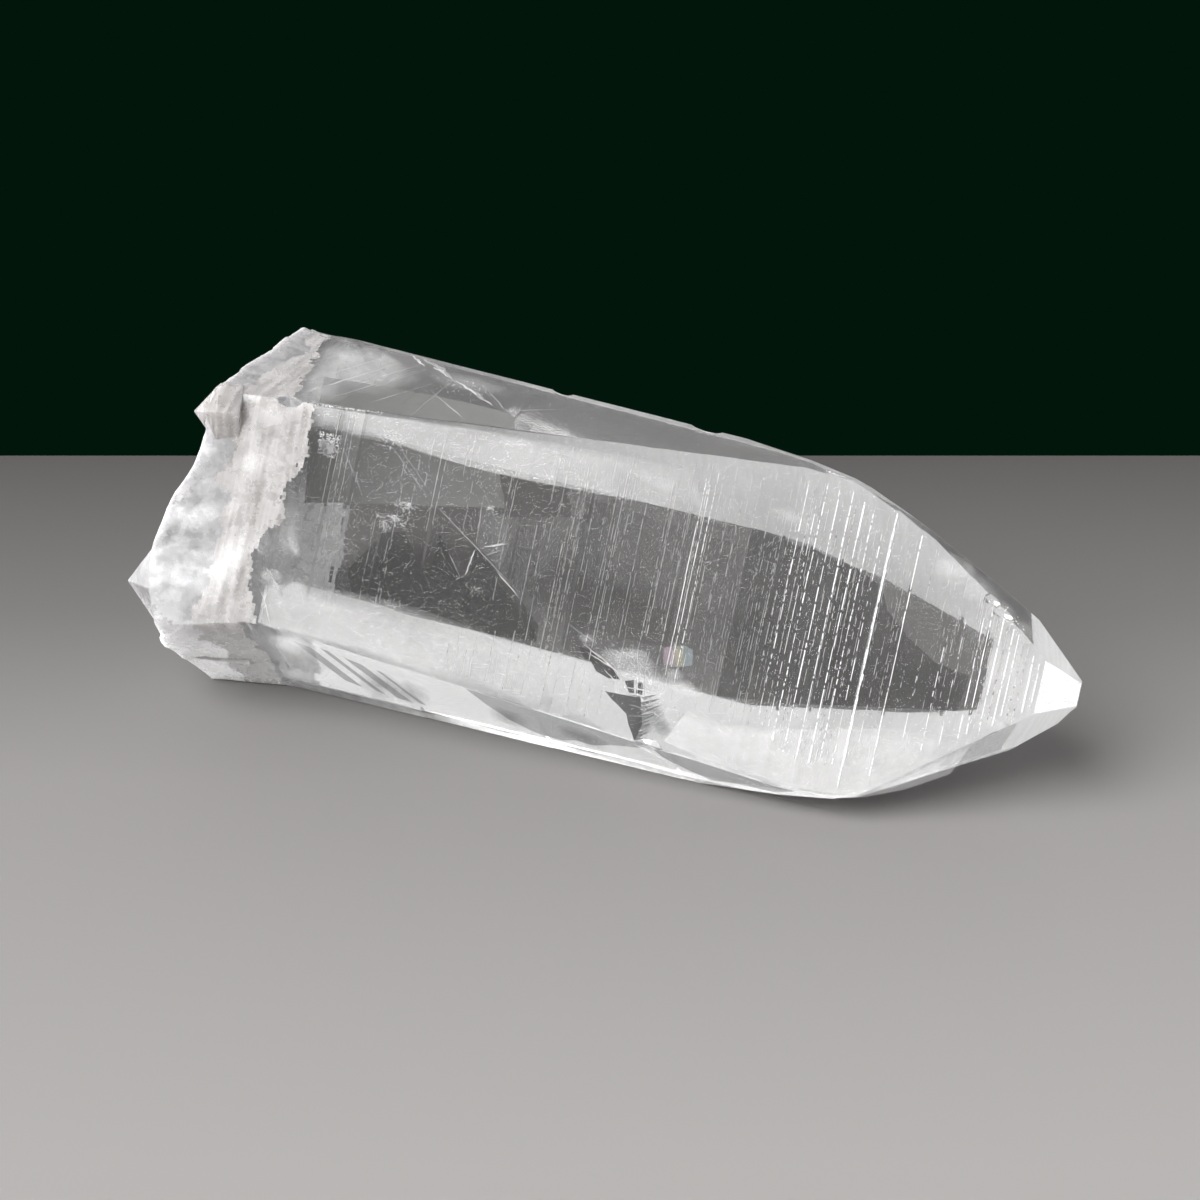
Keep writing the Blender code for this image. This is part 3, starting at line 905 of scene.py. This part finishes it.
# Painted shade: dark wedges on the front's lower face, standing in for dark reflections there.
LOWER_SHADE_WEDGES = (
    (
        (-10.6, 9.15), (-2.1, 7.7), (4.9, 6.5), (9.6, 5.7), (8.2, 4.9), (5.2, 4.1), (2.4, 2.9),
        (0.6, 3.1), (-1.6, 2.2), (-4.4, 2.8), (-6.9, 4.3), (-8.9, 6.6),
    ),
    (
        (9.6, 5.7), (14.8, 4.8), (20.2, 3.9), (25, 3), (22.6, 2), (18.8, 1.9), (15.6, 1.3),
        (13, 2.4), (10.8, 3.9),
    ),
    ((-30.5, 10.8), (-28.6, 10.4), (-24.6, 3.8), (-26.5, 4.4)),
    ((-27.3, 10.6), (-26.3, 10.3), (-22, 3.4), (-23, 3.6)),
    ((-24.8, 9.8), (-22.8, 9), (-18.8, 3), (-20.6, 3.2)),
    ((-21.3, 8.6), (-20.7, 8.4), (-17.2, 3), (-17.8, 3)),
)

# Painted light: pale stripes under the front face where the bent view shows bright: their sharp
# side, their soft side, and which way the soft side steps back from one layer to the next.
LIGHT_BANDS = (
    (
        ((-33, 33.9), (-27, 33.6), (-19, 33.3), (-10, 32.8), (8, 31.4)),
        (
            (10, 27.4), (4.4, 27.8), (-2, 28.3), (-9.4, 28.9), (-13.8, 29.4), (-18.3, 30.2),
            (-22.9, 31), (-26.5, 31.2), (-32.3, 31.9),
        ),
        0.16,
    ),
    (
        ((-33.6, 13.2), (-22.6, 11.9), (-10.9, 10.6), (-2.6, 9.7), (2, 9.2)),
        (
            (1, 11.6), (-3.8, 12.9), (-7.9, 14.2), (-12.5, 15.2), (-19.4, 16.5), (-24.3, 17),
            (-33.4, 17.2),
        ),
        -0.16,
    ),
    (
        ((11, 6.4), (16, 5.3), (22, 4.3), (28, 3.5), (32, 3.4), (36, 4.6), (40, 6.4)),
        ((41.5, 9.4), (38, 9.9), (33, 9.9), (27, 9.3), (20.2, 8.6), (16, 8.8), (12.6, 9.4)),
        -0.16,
    ),
)
# Each band's films: how many, how much shorter each is than the last, how deep the first lies
# and how far apart they are.
BAND_LAYERS = 9
BAND_ENDS = 0.05
BAND_DEPTH = 0.4
BAND_SPACING = 0.1

# Painted shade along the crystal's lower edge, on the front's lower face, dimming a bright rim
# there.
RIM_SHADE = (
    (-34.6, 0.06), (-34.6, 1), (-31, 1.5), (-27, 1), (-23, 1.5), (-18, 1.1), (-14, 1.5), (-9, 1),
    (-4, 1.4), (1, 1), (7, 1.3), (13, 0.8), (19, 1), (25, 0.6), (29, 0.06),
)

# Fine strokes on each face: start, end, depth and width in mm.
FAINT_STROKES = {
    "front": (
        ((-12.7, 27.3), (-12.5, 22.5), 0.6, 0.1), ((-12.7, 27.3), (-11, 25), 0.6, 0.08),
        ((-11.3, 21.6), (-9.4, 22.4), 0.5, 0.08), ((-15.2, 21.6), (-13.5, 19.5), 0.5, 0.07),
        ((-24.6, 31.8), (-18.4, 26.4), 0.8, 0.14), ((-23.8, 31.9), (-18, 26.6), 0.8, 0.07),
        ((-18.4, 26.4), (-6.8, 18.4), 0.8, 0.08), ((-28.6, 30.5), (-25.4, 26), 0.8, 0.1),
        ((7.6, 6), (12, 4.6), 0.2, 0.08), ((7.6, 12.2), (8.1, 9.7), 0.12, 0.08),
        ((6.6, 9.4), (8.4, 9.2), 0.12, 0.08), ((7, 8.4), (8.6, 8.5), 0.12, 0.08),
        ((-1.5, 16.3), (3.3, 13.8), 0.4, 0.07),
    ),
    "top": (
        ((-27.2, 9.1), (-21, 5.6), 0.8, 0.55), ((-22.1, -3.3), (-21.8, 5.3), 0.6, 0.12),
        ((-22.9, 2.7), (-16.5, -1.6), 0.6, 0.16), ((-37, -4), (-31, 7), 0.6, 0.1),
        ((-34.6, -4), (-28.6, 7), 0.6, 0.16), ((-31.6, -4), (-25.6, 7), 0.6, 0.08),
        ((-12.1, 0.7), (-10.9, 3.8), 0.5, 0.08), ((-10.9, 3.8), (-9.6, 3), 0.5, 0.08),
        ((-9.6, 3), (-10.6, 0.2), 0.5, 0.08), ((-18.6, 4.6), (-16.6, 3.2), 0.6, 0.45),
        ((-17.2, 5.4), (-13.6, 2.2), 0.8, 0.18), ((-40, -2), (-35, 6.5), 0.6, 0.08),
        ((-30.6, 0), (-26, 8.6), 0.6, 0.1), ((-29.4, -1), (-25, 7.6), 0.6, 0.06),
        ((-27.4, -3), (-23.4, 4), 0.6, 0.08), ((-14, 2), (-8, 5.6), 0.8, 0.07),
    ),
}
BRIGHT_STROKES = {
    "front": (
        ((-11.6, 22.4), (-9.1, 22.9), 0.5, 0.14), ((-12.9, 19.6), (-12.5, 22), 0.4, 0.14),
        ((-9.8, 20.3), (-6.9, 18.1), 0.5, 0.1), ((-34.3, 16.7), (-32.3, 13.1), 0.2, 0.1),
        ((-34, 18.4), (-31.5, 15.8), 0.3, 0.16), ((1, 13.9), (6.6, 11.5), 0.2, 0.1),
        ((4, 10.4), (7.6, 10.2), 0.2, 0.08), ((5.6, 11), (8.7, 10.8), 0.12, 0.12),
        ((6.9, 12.2), (7.3, 10.2), 0.12, 0.1), ((0.6, 14.6), (4.6, 12.4), 0.15, 0.16),
        ((3.4, 12.3), (5.6, 10.8), 0.15, 0.12),
    ),
    "top": (
        ((-21.5, 6), (-15.4, 2.7), 0.8, 0.3), ((-28.4, 9), (-26, 7.2), 0.6, 0.25),
        ((-25, 7.6), (-22.6, 6.4), 0.7, 0.35),
    ),
}

# Clouds of tiny flakes under each face: place, depth, spread in mm, how many and how large.
CLOUDS = {
    "front": (
        ((-21.6, 24), 1, (1.3, 0.4, 0.35), 260, 0.13),
        ((-20.6, 25.4), 1, (0.7, 0.3, 0.4), 200, 0.12),
        ((-22.4, 23.3), 1, (0.35, 0.2, 0.3), 120, 0.12),
        ((-33, 18.8), 1, (1.5, 0.8, 1.6), 90, 0.14),
        ((-31.4, 17.2), 1.2, (1.5, 0.6, 0.7), 60, 0.14),
        ((-32.2, 22.6), 1, (0.6, 0.4, 1), 60, 0.12),
        ((-23.6, 31.4), 0.8, (0.8, 0.3, 0.6), 160, 0.12),
        ((-11.8, 26), 0.6, (0.22, 0.1, 0.14), 60, 0.12),
        ((-10.2, 25.4), 0.8, (0.5, 0.2, 0.25), 40, 0.1),
        ((-11.4, 18.4), 0.8, (0.4, 0.2, 0.3), 50, 0.1),
        ((-19.9, 16.2), 0.6, (0.9, 0.3, 0.25), 60, 0.12), ((4.6, 13.6), 0.8, (2, 0.6, 1), 300, 0.1),
        ((7.8, 12.6), 0.8, (1.8, 0.6, 1), 200, 0.1), ((9, 8.8), 0.8, (1.6, 0.6, 1.2), 240, 0.11),
        ((-30, 30.3), 0.4, (0.6, 0.25, 0.7), 420, 0.24),
        ((42.8, 21.2), 0.2, (1.3, 0.5, 0.8), 160, 0.18), ((-6, 20), 3, (20, 2, 5), 420, 0.05),
    ),
    "top": (
        ((-19.5, 4.8), 0.8, (2.6, 1.1, 0.2), 160, 0.11),
    ),
}
# Soft white clouds: place, depth, half width and half height in mm, and slant in degrees.
PUFFS = {
    "front": (
        ((-30.4, 15.4), 0.7, (3.4, 0.9), -6), ((-27, 15.2), 0.7, (2.4, 0.8), -8),
        ((4.8, 12.9), 0.6, (2.7, 1.2), -12), ((8, 11.8), 0.6, (2.6, 1.3), -16),
        ((6.2, 13.9), 0.7, (1.8, 0.9), 0), ((11.6, 11.6), 0.7, (2.4, 0.8), -8),
        ((-33.6, 17.6), 0.8, (1.6, 1), 20), ((-32.2, 15.2), 0.8, (2, 0.9), -25),
        ((-30.6, 16.8), 1, (1.4, 0.8), 10), ((-31.6, 20.6), 0.8, (0.8, 1.2), 40),
        ((-28.6, 15.4), 0.9, (1.6, 0.6), -10), ((-21.6, 24.2), 1, (0.9, 0.35), -15),
        ((-20.4, 25.6), 1, (0.5, 0.35), 0), ((-11.9, 26.1), 0.6, (0.3, 0.16), 0),
        ((4.6, 13.6), 0.8, (1.8, 0.8), 0), ((7.2, 13), 0.8, (1.6, 0.9), 20),
        ((9.4, 9.4), 0.8, (1.3, 1), -30), ((1, 15), 0.8, (1.1, 0.5), 0),
        ((10.6, 12.6), 1, (1.2, 0.7), 0),
    ),
}
# Soft grey ones: painted shade, where the bent view shows darker.
PAINTED_SHADES = {
    "front_lower": (
        ((-22, 5.2), 0.5, (2.8, 3.4), -35), ((-18.6, 4.8), 0.5, (2.4, 2.8), -30),
        ((-6.8, 4.8), 0.5, (2.4, 2), -20), ((1.6, 4.2), 0.5, (3.4, 1.6), -12),
    ),
    "front": (
        ((9.6, 8.3), 0.3, (1.5, 1.5), 30), ((10.6, 7.6), 0.4, (1.2, 1.1), 20),
        ((8.8, 7.4), 0.4, (0.8, 1.2), 0), ((2.2, 13.4), 0.3, (1.8, 0.6), -35),
    ),
}
# Paler and wider ones, which barely show on their own: partly haze near the frosting, partly
# painted light.
HAZES_AND_LIGHT = {
    "front": (
        ((-31, 16), 0.9, (4, 2.4), 0), ((-32.5, 22), 0.9, (1.8, 3), 10),
        ((-18, 11.6), 0.5, (6, 1), -6), ((-6, 9.6), 0.5, (5, 1.2), -10),
        ((15, 7.6), 0.5, (4, 1.8), -12), ((22, 6.6), 0.5, (4.5, 1.9), -8),
        ((30, 7.4), 0.5, (4.5, 1.6), 0), ((36, 8.4), 0.5, (3.4, 1.4), 6),
        ((6, 12.4), 0.5, (4.6, 2.4), -12), ((-8, 31.6), 0.5, (5, 0.8), -8),
        ((6, 29.6), 0.5, (6, 1), -10), ((20, 27.6), 0.5, (4, 1), -14),
        ((-24.4, 13.6), 0.6, (5, 2.2), -6), ((-19, 12.4), 0.6, (5, 2), -6),
        ((-28, 13.6), 0.6, (4, 2.6), 0), ((-30, 12.4), 0.6, (4, 2.4), 0),
    ),
    "top": (
        ((-30, 4), 0.6, (5, 2.4), 0), ((-20, 6), 0.6, (5, 1.6), 0), ((-33, -3), 0.6, (3, 2), 0),
        ((-34, 2), 0.5, (4, 4), 0), ((-35, -1), 0.5, (3, 3), 0), ((-31, 3), 0.5, (5, 4.5), 0),
        ((-35.5, 5), 0.5, (3.5, 3.5), 0), ((35.7, 4.4), 0.4, (3, 1.6), 0),
        ((38.8, 4.8), 0.4, (2.4, 1.4), 0), ((41.4, 4.6), 0.4, (2, 1.2), 0),
        ((43.6, 4.6), 0.4, (1.6, 1), 0),
    ),
    "front_lower": (
        ((-33.4, 9), 0.4, (3.4, 3.2), 0), ((-32.2, 6), 0.4, (3.6, 3.4), 0),
        ((-30.6, 9.6), 0.4, (3, 2.6), 0),
    ),
}
# Painted shade in grey columns between growth lines, and a painted rainbow sheen beside the
# fracture.
SHADE_COLUMN_DARK = ((-2.1, 27.9), (0.2, 27.4), (0.7, 13.0), (-1.6, 14.1))
SHADE_COLUMN_GREY = ((0.2, 27.4), (14.9, 24.8), (15.2, 11.5), (0.7, 13.0))
SHEEN_SPECKS = (
    ("speck_rose", ((8.9, 14.9), (10.0, 15.2), (10.4, 13.3), (9.2, 13.5)), (0.85, 0.62, 0.78)),
    ("speck_gold", ((10.0, 15.2), (11.0, 15.3), (11.3, 13.4), (10.4, 13.3)), (0.88, 0.85, 0.60)),
    ("speck_blue", ((11.0, 15.3), (11.9, 15.0), (12.2, 13.6), (11.3, 13.4)), (0.60, 0.78, 0.88)),
)
STROKE_STEPS = 10
PUFF_LAYERS = 12
PUFF_SIDES = 14
PUFF_SPACING = 0.12
# Flakes: how far each stays under the crystal's surface, how far the clouds stay under their
# face, the turns of a flake's corners in radians, and its farthest place in spreads.
SKIN = 0.06
CLOUD_SKIN = 0.15
FLAKE_CORNERS = (0.0, 1.9, 3.6, 5.0)
CLOUD_REACH = 1.8
ROOT_REACH = 1.5
# The cloud inside the root: its middle, its spread, how many flakes and how large.
ROOT_CLOUD = ((-42.0, -2.0, 17.0), (2.0, 7.0, 6.5), 500, 0.35)
# Crumbs along the worn edges: edge, from and to which x, how many and how large. They sink
# towards this height.
MIDDLE_HEIGHT = 16.0
CRUMB_EDGES = (
    (1, -34, -25, 170, 0.16), (1, -25, 46, 150, 0.07), (0, -36, -20, 60, 0.12),
    (0, -20, 44, 170, 0.08), (5, -40, 40, 90, 0.08), (2, -38, 40, 110, 0.08),
    (3, -40, 38, 110, 0.08), (4, -40, 36, 90, 0.08),
)


def films(name, outlines, face, depth, material):
    """Flat films with these outlines, sunk into the crystal from a face."""
    bm = bmesh.new()
    for outline in outlines:
        bm.faces.new([bm.verts.new(on_face(face, x, across, depth)) for x, across in outline])
    bmesh.ops.triangulate(bm, faces=bm.faces[:])
    piece(name, bm, material)


def painted_light_bands(name, material):
    """Stacks of films that paint light in pale stripes with one soft side."""
    bm = bmesh.new()
    for sharp, soft, step in LIGHT_BANDS:
        for layer in range(BAND_LAYERS):
            outline = sharp + tuple((x, z + step * layer) for x, z in soft)
            shrink, sunk = 1.0 - BAND_ENDS * layer, BAND_DEPTH + BAND_SPACING * layer
            outline = [(sharp[0][0] + (x - sharp[0][0]) * shrink, z) for x, z in outline]
            bm.faces.new([bm.verts.new(on_face("front", x, z, sunk)) for x, z in outline])
    bmesh.ops.triangulate(bm, faces=bm.faces[:])
    piece(name, bm, material)


def placed(rows_by_face):
    """The rows of a table that is kept by face, each with its face in front."""
    return [(face, *row) for face, rows in rows_by_face.items() for row in rows]


def strokes(name, rows_by_face, material):
    """Narrow films along straight strokes that waver a little and come to a point."""
    rng = np.random.default_rng(5)
    bm = bmesh.new()
    for face, start, end, depth, width in placed(rows_by_face):
        a, b = on_face(face, *start, depth), on_face(face, *end, depth)
        side = (b - a).cross(Vector(INTO[face])).normalized()
        edges = []
        for i in range(STROKE_STEPS + 1):
            t = i / STROKE_STEPS
            middle = a.lerp(b, t) + side * width * rng.uniform(-0.4, 0.4)
            half = side * width * (0.15 + math.sin(math.pi * t)) * rng.uniform(0.3, 0.7)
            edges.append((bm.verts.new(middle - half), bm.verts.new(middle + half)))
        for (p, q), (r, s) in zip(edges, edges[1:]):
            bm.faces.new((p, q, s, r))
    piece(name, bm, material)


def inside(point):
    """Whether a point in millimetres lies within the crystal, and not close to its surface."""
    nearest, normal, _, distance = surface.find_nearest(point)
    return distance > SKIN and (point - nearest).dot(normal) < 0.0


def flake(bm, rng, centre, size):
    """One thin angular flake, turned at random, if there is room for it."""
    if not inside(centre):
        return
    turn = Matrix.Rotation(rng.uniform(0, 2 * math.pi), 4, Vector(rng.normal(size=3)).normalized())
    points = []
    for corner_turn in FLAKE_CORNERS:
        reach = size * rng.uniform(0.35, 0.75)
        flat = Vector((math.cos(corner_turn) * reach, math.sin(corner_turn) * reach, 0.0))
        points.append(bm.verts.new(centre + turn @ flat))
    bm.faces.new(points)


def scatter(rng, spread, reach):
    """A random offset from the middle of a cloud."""
    return Vector([float(v) for v in np.clip(rng.normal(size=3), -reach, reach) * spread])


def clouds(name, material):
    """Clouds of tiny flakes, none of them nearer to the face than its skin."""
    rng = np.random.default_rng(7)
    bm = bmesh.new()
    for face, place, depth, spread, count, size in placed(CLOUDS):
        centre, into = on_face(face, *place, depth), Vector(INTO[face])
        for _ in range(count):
            offset = scatter(rng, spread, CLOUD_REACH)
            offset -= into * min(0.0, offset.dot(into) + depth - CLOUD_SKIN)
            flake(bm, rng, centre + offset, size * rng.uniform(0.4, 1.3))
    piece(name, bm, material)


# Also used for soft patches of painted light and shade.
def puffs(name, rows_by_face, material):
    """Soft clouds: each is a stack of ragged films, wider the deeper they lie."""
    rng = np.random.default_rng(12)
    bm = bmesh.new()
    for face, place, depth, (wide, tall), slant in placed(rows_by_face):
        centre = on_face(face, *place, depth)
        across = Vector((math.cos(math.radians(slant)), 0.0, math.sin(math.radians(slant))))
        up = Vector(INTO[face]).cross(across).normalized()
        for layer in range(PUFF_LAYERS):
            size = (layer + 1.0) / PUFF_LAYERS
            sink = Vector(INTO[face]) * PUFF_SPACING * layer
            ring = []
            for k in range(PUFF_SIDES):
                turn = 2.0 * math.pi * k / PUFF_SIDES
                reach = size * (0.85 + 0.3 * rng.random())
                spot = across * wide * math.cos(turn) + up * tall * math.sin(turn)
                ring.append(bm.verts.new(centre + sink + spot * reach))
            bm.faces.new(ring)
    bmesh.ops.triangulate(bm, faces=bm.faces[:])
    piece(name, bm, material)


def root_cloud(name, material):
    """The cloud of larger flakes inside the root."""
    rng = np.random.default_rng(8)
    bm = bmesh.new()
    centre, spread, count, size = ROOT_CLOUD
    for _ in range(count):
        offset = scatter(rng, spread, ROOT_REACH)
        flake(bm, rng, Vector(centre) + offset, size * rng.uniform(0.3, 1.4))
    piece(name, bm, material)


def crumbs(name, material):
    """Bruised crumbs along the worn edges."""
    rng = np.random.default_rng(9)
    bm = bmesh.new()
    for edge, first, last, count, size in CRUMB_EDGES:
        for x in rng.uniform(first, last, count):
            y, z = section_corners(np.array([x]))[edge]
            centre = Vector((float(x), float(y[0]), float(z[0])))
            inward = Vector((0.0, -centre.y, MIDDLE_HEIGHT - centre.z)).normalized()
            centre += inward * size * rng.uniform(0.4, 1.2)
            flake(bm, rng, centre, size * rng.uniform(0.6, 1.6))
    piece(name, bm, material)


flake_white = white_quartz("flake_white", (0.97, 0.97, 0.97), 0.25)
phantom_film = veil("phantom_film", (0.012, 0.014, 0.012), 0.62)
films("phantom", (PHANTOM, PHANTOM_SIDE), "front", 1.2, phantom_film)
films("phantom_core", (PHANTOM_CORE,), "front", 1.5, veil("core_film", (0.02, 0.03, 0.025), 0.30))
films("pale_wedge", (PALE_WEDGE,), "front", 0.9, veil("wedge_film", (0.35, 0.35, 0.35), 0.25))
films("fracture", FRACTURE, "front", 0.25, veil("fracture_film", (0.015, 0.015, 0.015), 0.9))
films("splinters", SPLINTERS, "front", 0.3, veil("splinter_film", (0.03, 0.03, 0.03), 0.7))
# Painted shade near the tip.
films("end_painted_shade", (END_SHADE,), "front", 1.0, veil("end_shade_film", (0.012, 0.013, 0.012), 0.50))
# Painted shade: grey deep behind the front face.
films("back_painted_shade", (BACK_SHADE,), "front", 16.0, veil("back_shade_film", (0.16, 0.16, 0.155), 0.92, 0.1))
# Painted shade: dark wedges on the lower face.
films("lower_shade_wedges", LOWER_SHADE_WEDGES, "front_lower", 0.3, veil("wedge_shade_grey", (0.08, 0.09, 0.10), 0.5))
# Painted light: pale stripes under the front face.
painted_light_bands("painted_light_bands", veil("band_light_film", (0.98, 0.975, 0.97), 0.09, 0.1))
# Painted shade along the lower edge.
films("rim_painted_shade", (RIM_SHADE,), "front_lower", 0.1, veil("rim_shade_film", (0.30, 0.30, 0.30), 0.62))
strokes("strokes_faint", FAINT_STROKES, veil("faint_film", (0.92, 0.92, 0.92), 0.38))
strokes("strokes_bright", BRIGHT_STROKES, veil("bright_film", (0.97, 0.97, 0.97), 0.8))
clouds("clouds", flake_white)
puffs("puffs", PUFFS, veil("puff_film", (0.98, 0.98, 0.98), 0.09, 0.1))
# Haze near the frosting, and painted light on the front face.
puffs("hazes_and_painted_light", HAZES_AND_LIGHT, veil("haze_and_light_film", (0.95, 0.95, 0.95), 0.03, 0.1))
# Painted shade.
puffs("painted_shades", PAINTED_SHADES, veil("painted_shade_film", (0.06, 0.063, 0.07), 0.05, 0.1))
# Painted shade: grey columns between growth lines.
films("shade_column_dark", (SHADE_COLUMN_DARK,), "front", 0.7, veil("column_shade_film", (0.02, 0.02, 0.02), 0.28))
films("shade_column_grey", (SHADE_COLUMN_GREY,), "front", 0.8, veil("grey_shade_film", (0.02, 0.02, 0.02), 0.12))
# Painted rainbow sheen beside the fracture.
for name, outline, colour in SHEEN_SPECKS:
    films(name, (outline,), "front", 0.5, veil(name + "_film", colour, 0.3, 0.2))
root_cloud("root_cloud", flake_white)
crumbs("edge_crumbs", flake_white)

# ---------------------------------------------------------------- camera
CAM_TURN = math.radians(24.33)
CAM_PITCH = math.radians(32.0)
SENSOR_MM = 36.0
CAM_FOCAL_PX = 2500.0
FRAME_PX = 1200.0
CAM_PLACE = Vector((92.86 - FOOTPRINT[0], -208.85 - FOOTPRINT[1], 157.27)) * MM
camera = bpy.data.objects.new("camera", bpy.data.cameras.new("camera"))
bpy.context.scene.collection.objects.link(camera)
camera.data.sensor_width = SENSOR_MM
camera.data.lens = SENSOR_MM * CAM_FOCAL_PX / FRAME_PX
camera.data.clip_start = 0.01
camera.location = CAM_PLACE
camera.rotation_euler = (math.pi / 2 - CAM_PITCH, 0.0, CAM_TURN)
bpy.context.scene.camera = camera

# ---------------------------------------------------------------- floor
BEHIND = Vector((-math.sin(CAM_TURN), math.cos(CAM_TURN), 0.0))
SIDE = Vector((BEHIND.y, -BEHIND.x, 0.0))
FLOOR_BACK = 0.0592
FLOOR_FRONT = 0.6
FLOOR_SIDE = 0.6
FLOOR_GAP = 0.0002
# Painted shade: the floor darkens away from the camera as less light reaches it: from and to how
# far behind the crystal, and its tone at shares of that way.
FLOOR_SHADE_SPAN = (-0.2, 0.06)
FLOOR_SHADE_TONES = ((0.0, 0.24), (0.5, 0.222), (0.72, 0.172), (0.85, 0.097), (1.0, 0.045))
FLOOR_WARMTH = (1.0, 0.965, 0.945)


def pale_floor():
    """A matt floor with a touch of warmth, and painted shade that darkens it away from the camera.
    """
    material, shader, nodes = principled("floor_pale", (0.5, 0.48, 0.47), 0.55, 0.0, 1.45)
    shader.inputs["Specular IOR Level"].default_value = 0.2
    spot = nodes.make("ShaderNodeTexCoord").outputs["Object"]
    # Painted shade: darker the farther behind the crystal.
    away = nodes.dot(spot, tuple(BEHIND))
    span = nodes.make("ShaderNodeMapRange")
    nodes.feed(span.inputs["Value"], away)
    span.inputs["From Min"].default_value, span.inputs["From Max"].default_value = FLOOR_SHADE_SPAN
    floor_shade = nodes.make("ShaderNodeValToRGB")
    nodes.feed(floor_shade.inputs["Fac"], span.outputs["Result"])
    while len(floor_shade.color_ramp.elements) < len(FLOOR_SHADE_TONES):
        floor_shade.color_ramp.elements.new(0.5)
    for element, (where, tone) in zip(floor_shade.color_ramp.elements, FLOOR_SHADE_TONES):
        element.position = where
        element.color = (*(tone * share for share in FLOOR_WARMTH), 1.0)
    nodes.feed(shader.inputs["Base Color"], floor_shade.outputs["Color"])
    return material


floor_mesh = bpy.data.meshes.new("floor")
spots = [
    BEHIND * FLOOR_BACK + SIDE * FLOOR_SIDE, BEHIND * FLOOR_BACK - SIDE * FLOOR_SIDE,
    -BEHIND * FLOOR_FRONT - SIDE * FLOOR_SIDE, -BEHIND * FLOOR_FRONT + SIDE * FLOOR_SIDE,
]
floor_mesh.from_pydata([(s.x, s.y, -FLOOR_GAP) for s in spots], [], [(0, 1, 2, 3)])
floor = bpy.data.objects.new("floor", floor_mesh)
bpy.context.scene.collection.objects.link(floor)
floor_mesh.materials.append(pale_floor())

# ---------------------------------------------------------------- studio light
world = bpy.data.worlds.new("studio")
bpy.context.scene.world = world
world.use_nodes = True
world.node_tree.nodes.clear()
nodes = Nodes(world.node_tree)
sky = nodes.make("ShaderNodeTexCoord").outputs["Generated"]
radians = nodes.maths("ARCTAN2", nodes.dot(sky, tuple(SIDE)), nodes.dot(sky, tuple(BEHIND)))
turn = nodes.maths("MULTIPLY", radians, 180 / math.pi)
height = nodes.maths("MULTIPLY", nodes.maths("ARCSINE", nodes.dot(sky, (0, 0, 1))), 180 / math.pi)


def window(turns, heights, soft, strength):
    """A soft-edged bright area of the studio between two turns and two heights, in degrees."""
    inside = nodes.ramp(turn, turns[0] - soft, turns[0] + soft)
    inside = nodes.maths("MULTIPLY", inside, nodes.ramp(turn, turns[1] + soft, turns[1] - soft))
    low = nodes.ramp(height, heights[0] - soft, heights[0] + soft)
    high = nodes.ramp(height, heights[1] + soft, heights[1] - soft)
    inside = nodes.maths("MULTIPLY", inside, nodes.maths("MULTIPLY", low, high))
    return nodes.maths("MULTIPLY", inside, strength)


def lamp(aim_turn, aim_height, inner, outer, strength):
    """A round soft lamp: full strength up to the inner angle and none past the outer."""
    t, h = math.radians(aim_turn), math.radians(aim_height)
    aim = (BEHIND * math.cos(t) + SIDE * math.sin(t)) * math.cos(h) + Vector((0, 0, math.sin(h)))
    near = nodes.dot(sky, tuple(aim))
    fall = nodes.ramp(near, math.cos(math.radians(outer)), math.cos(math.radians(inner)))
    return nodes.maths("MULTIPLY", fall, strength)


LIGHTS = (
    window((-125, -34), (-20, 40), 9, 1.10),
    window((-100, -60), (-12, 26), 8, 0.90),
    window((-34, 40), (12, 48), 8, 0.85),
    lamp(-125, 50, 10, 30, 15.0),
    lamp(137.5, 6.7, 6, 10, 8.0),
    lamp(-150, 2, 8, 18, 10.0),
)
EVEN_LIGHT = 0.2
light = nodes.maths("ADD", EVEN_LIGHT, nodes.ramp(height, 50.0, 10.0, 0.0, 0.12))
for extra in LIGHTS:
    light = nodes.maths("ADD", light, extra)
# A dark green backdrop fills a patch behind the crystal and below the horizon.
BACKDROP = (0.0009, 0.0080, 0.0037, 1.0)
drop = nodes.maths("MULTIPLY", nodes.ramp(turn, -17.5, -15.8), nodes.ramp(turn, 30, 22))
drop = nodes.maths("MULTIPLY", drop, nodes.ramp(height, -8.0, -14.0))
white = nodes.make("ShaderNodeCombineColor")
for channel in white.inputs:
    nodes.feed(channel, light)
colour = nodes.mix(drop, white.outputs[0], BACKDROP)
shade = nodes.make("ShaderNodeBackground")
nodes.feed(shade.inputs["Color"], colour)
out = nodes.make("ShaderNodeOutputWorld")
nodes.links.new(shade.outputs[0], out.inputs["Surface"])

scene = bpy.context.scene
scene.view_settings.view_transform = "Standard"
scene.view_settings.look = "None"
scene.cycles.max_bounces = 24
scene.cycles.transmission_bounces = 24
scene.cycles.glossy_bounces = 24
scene.cycles.transparent_max_bounces = 48
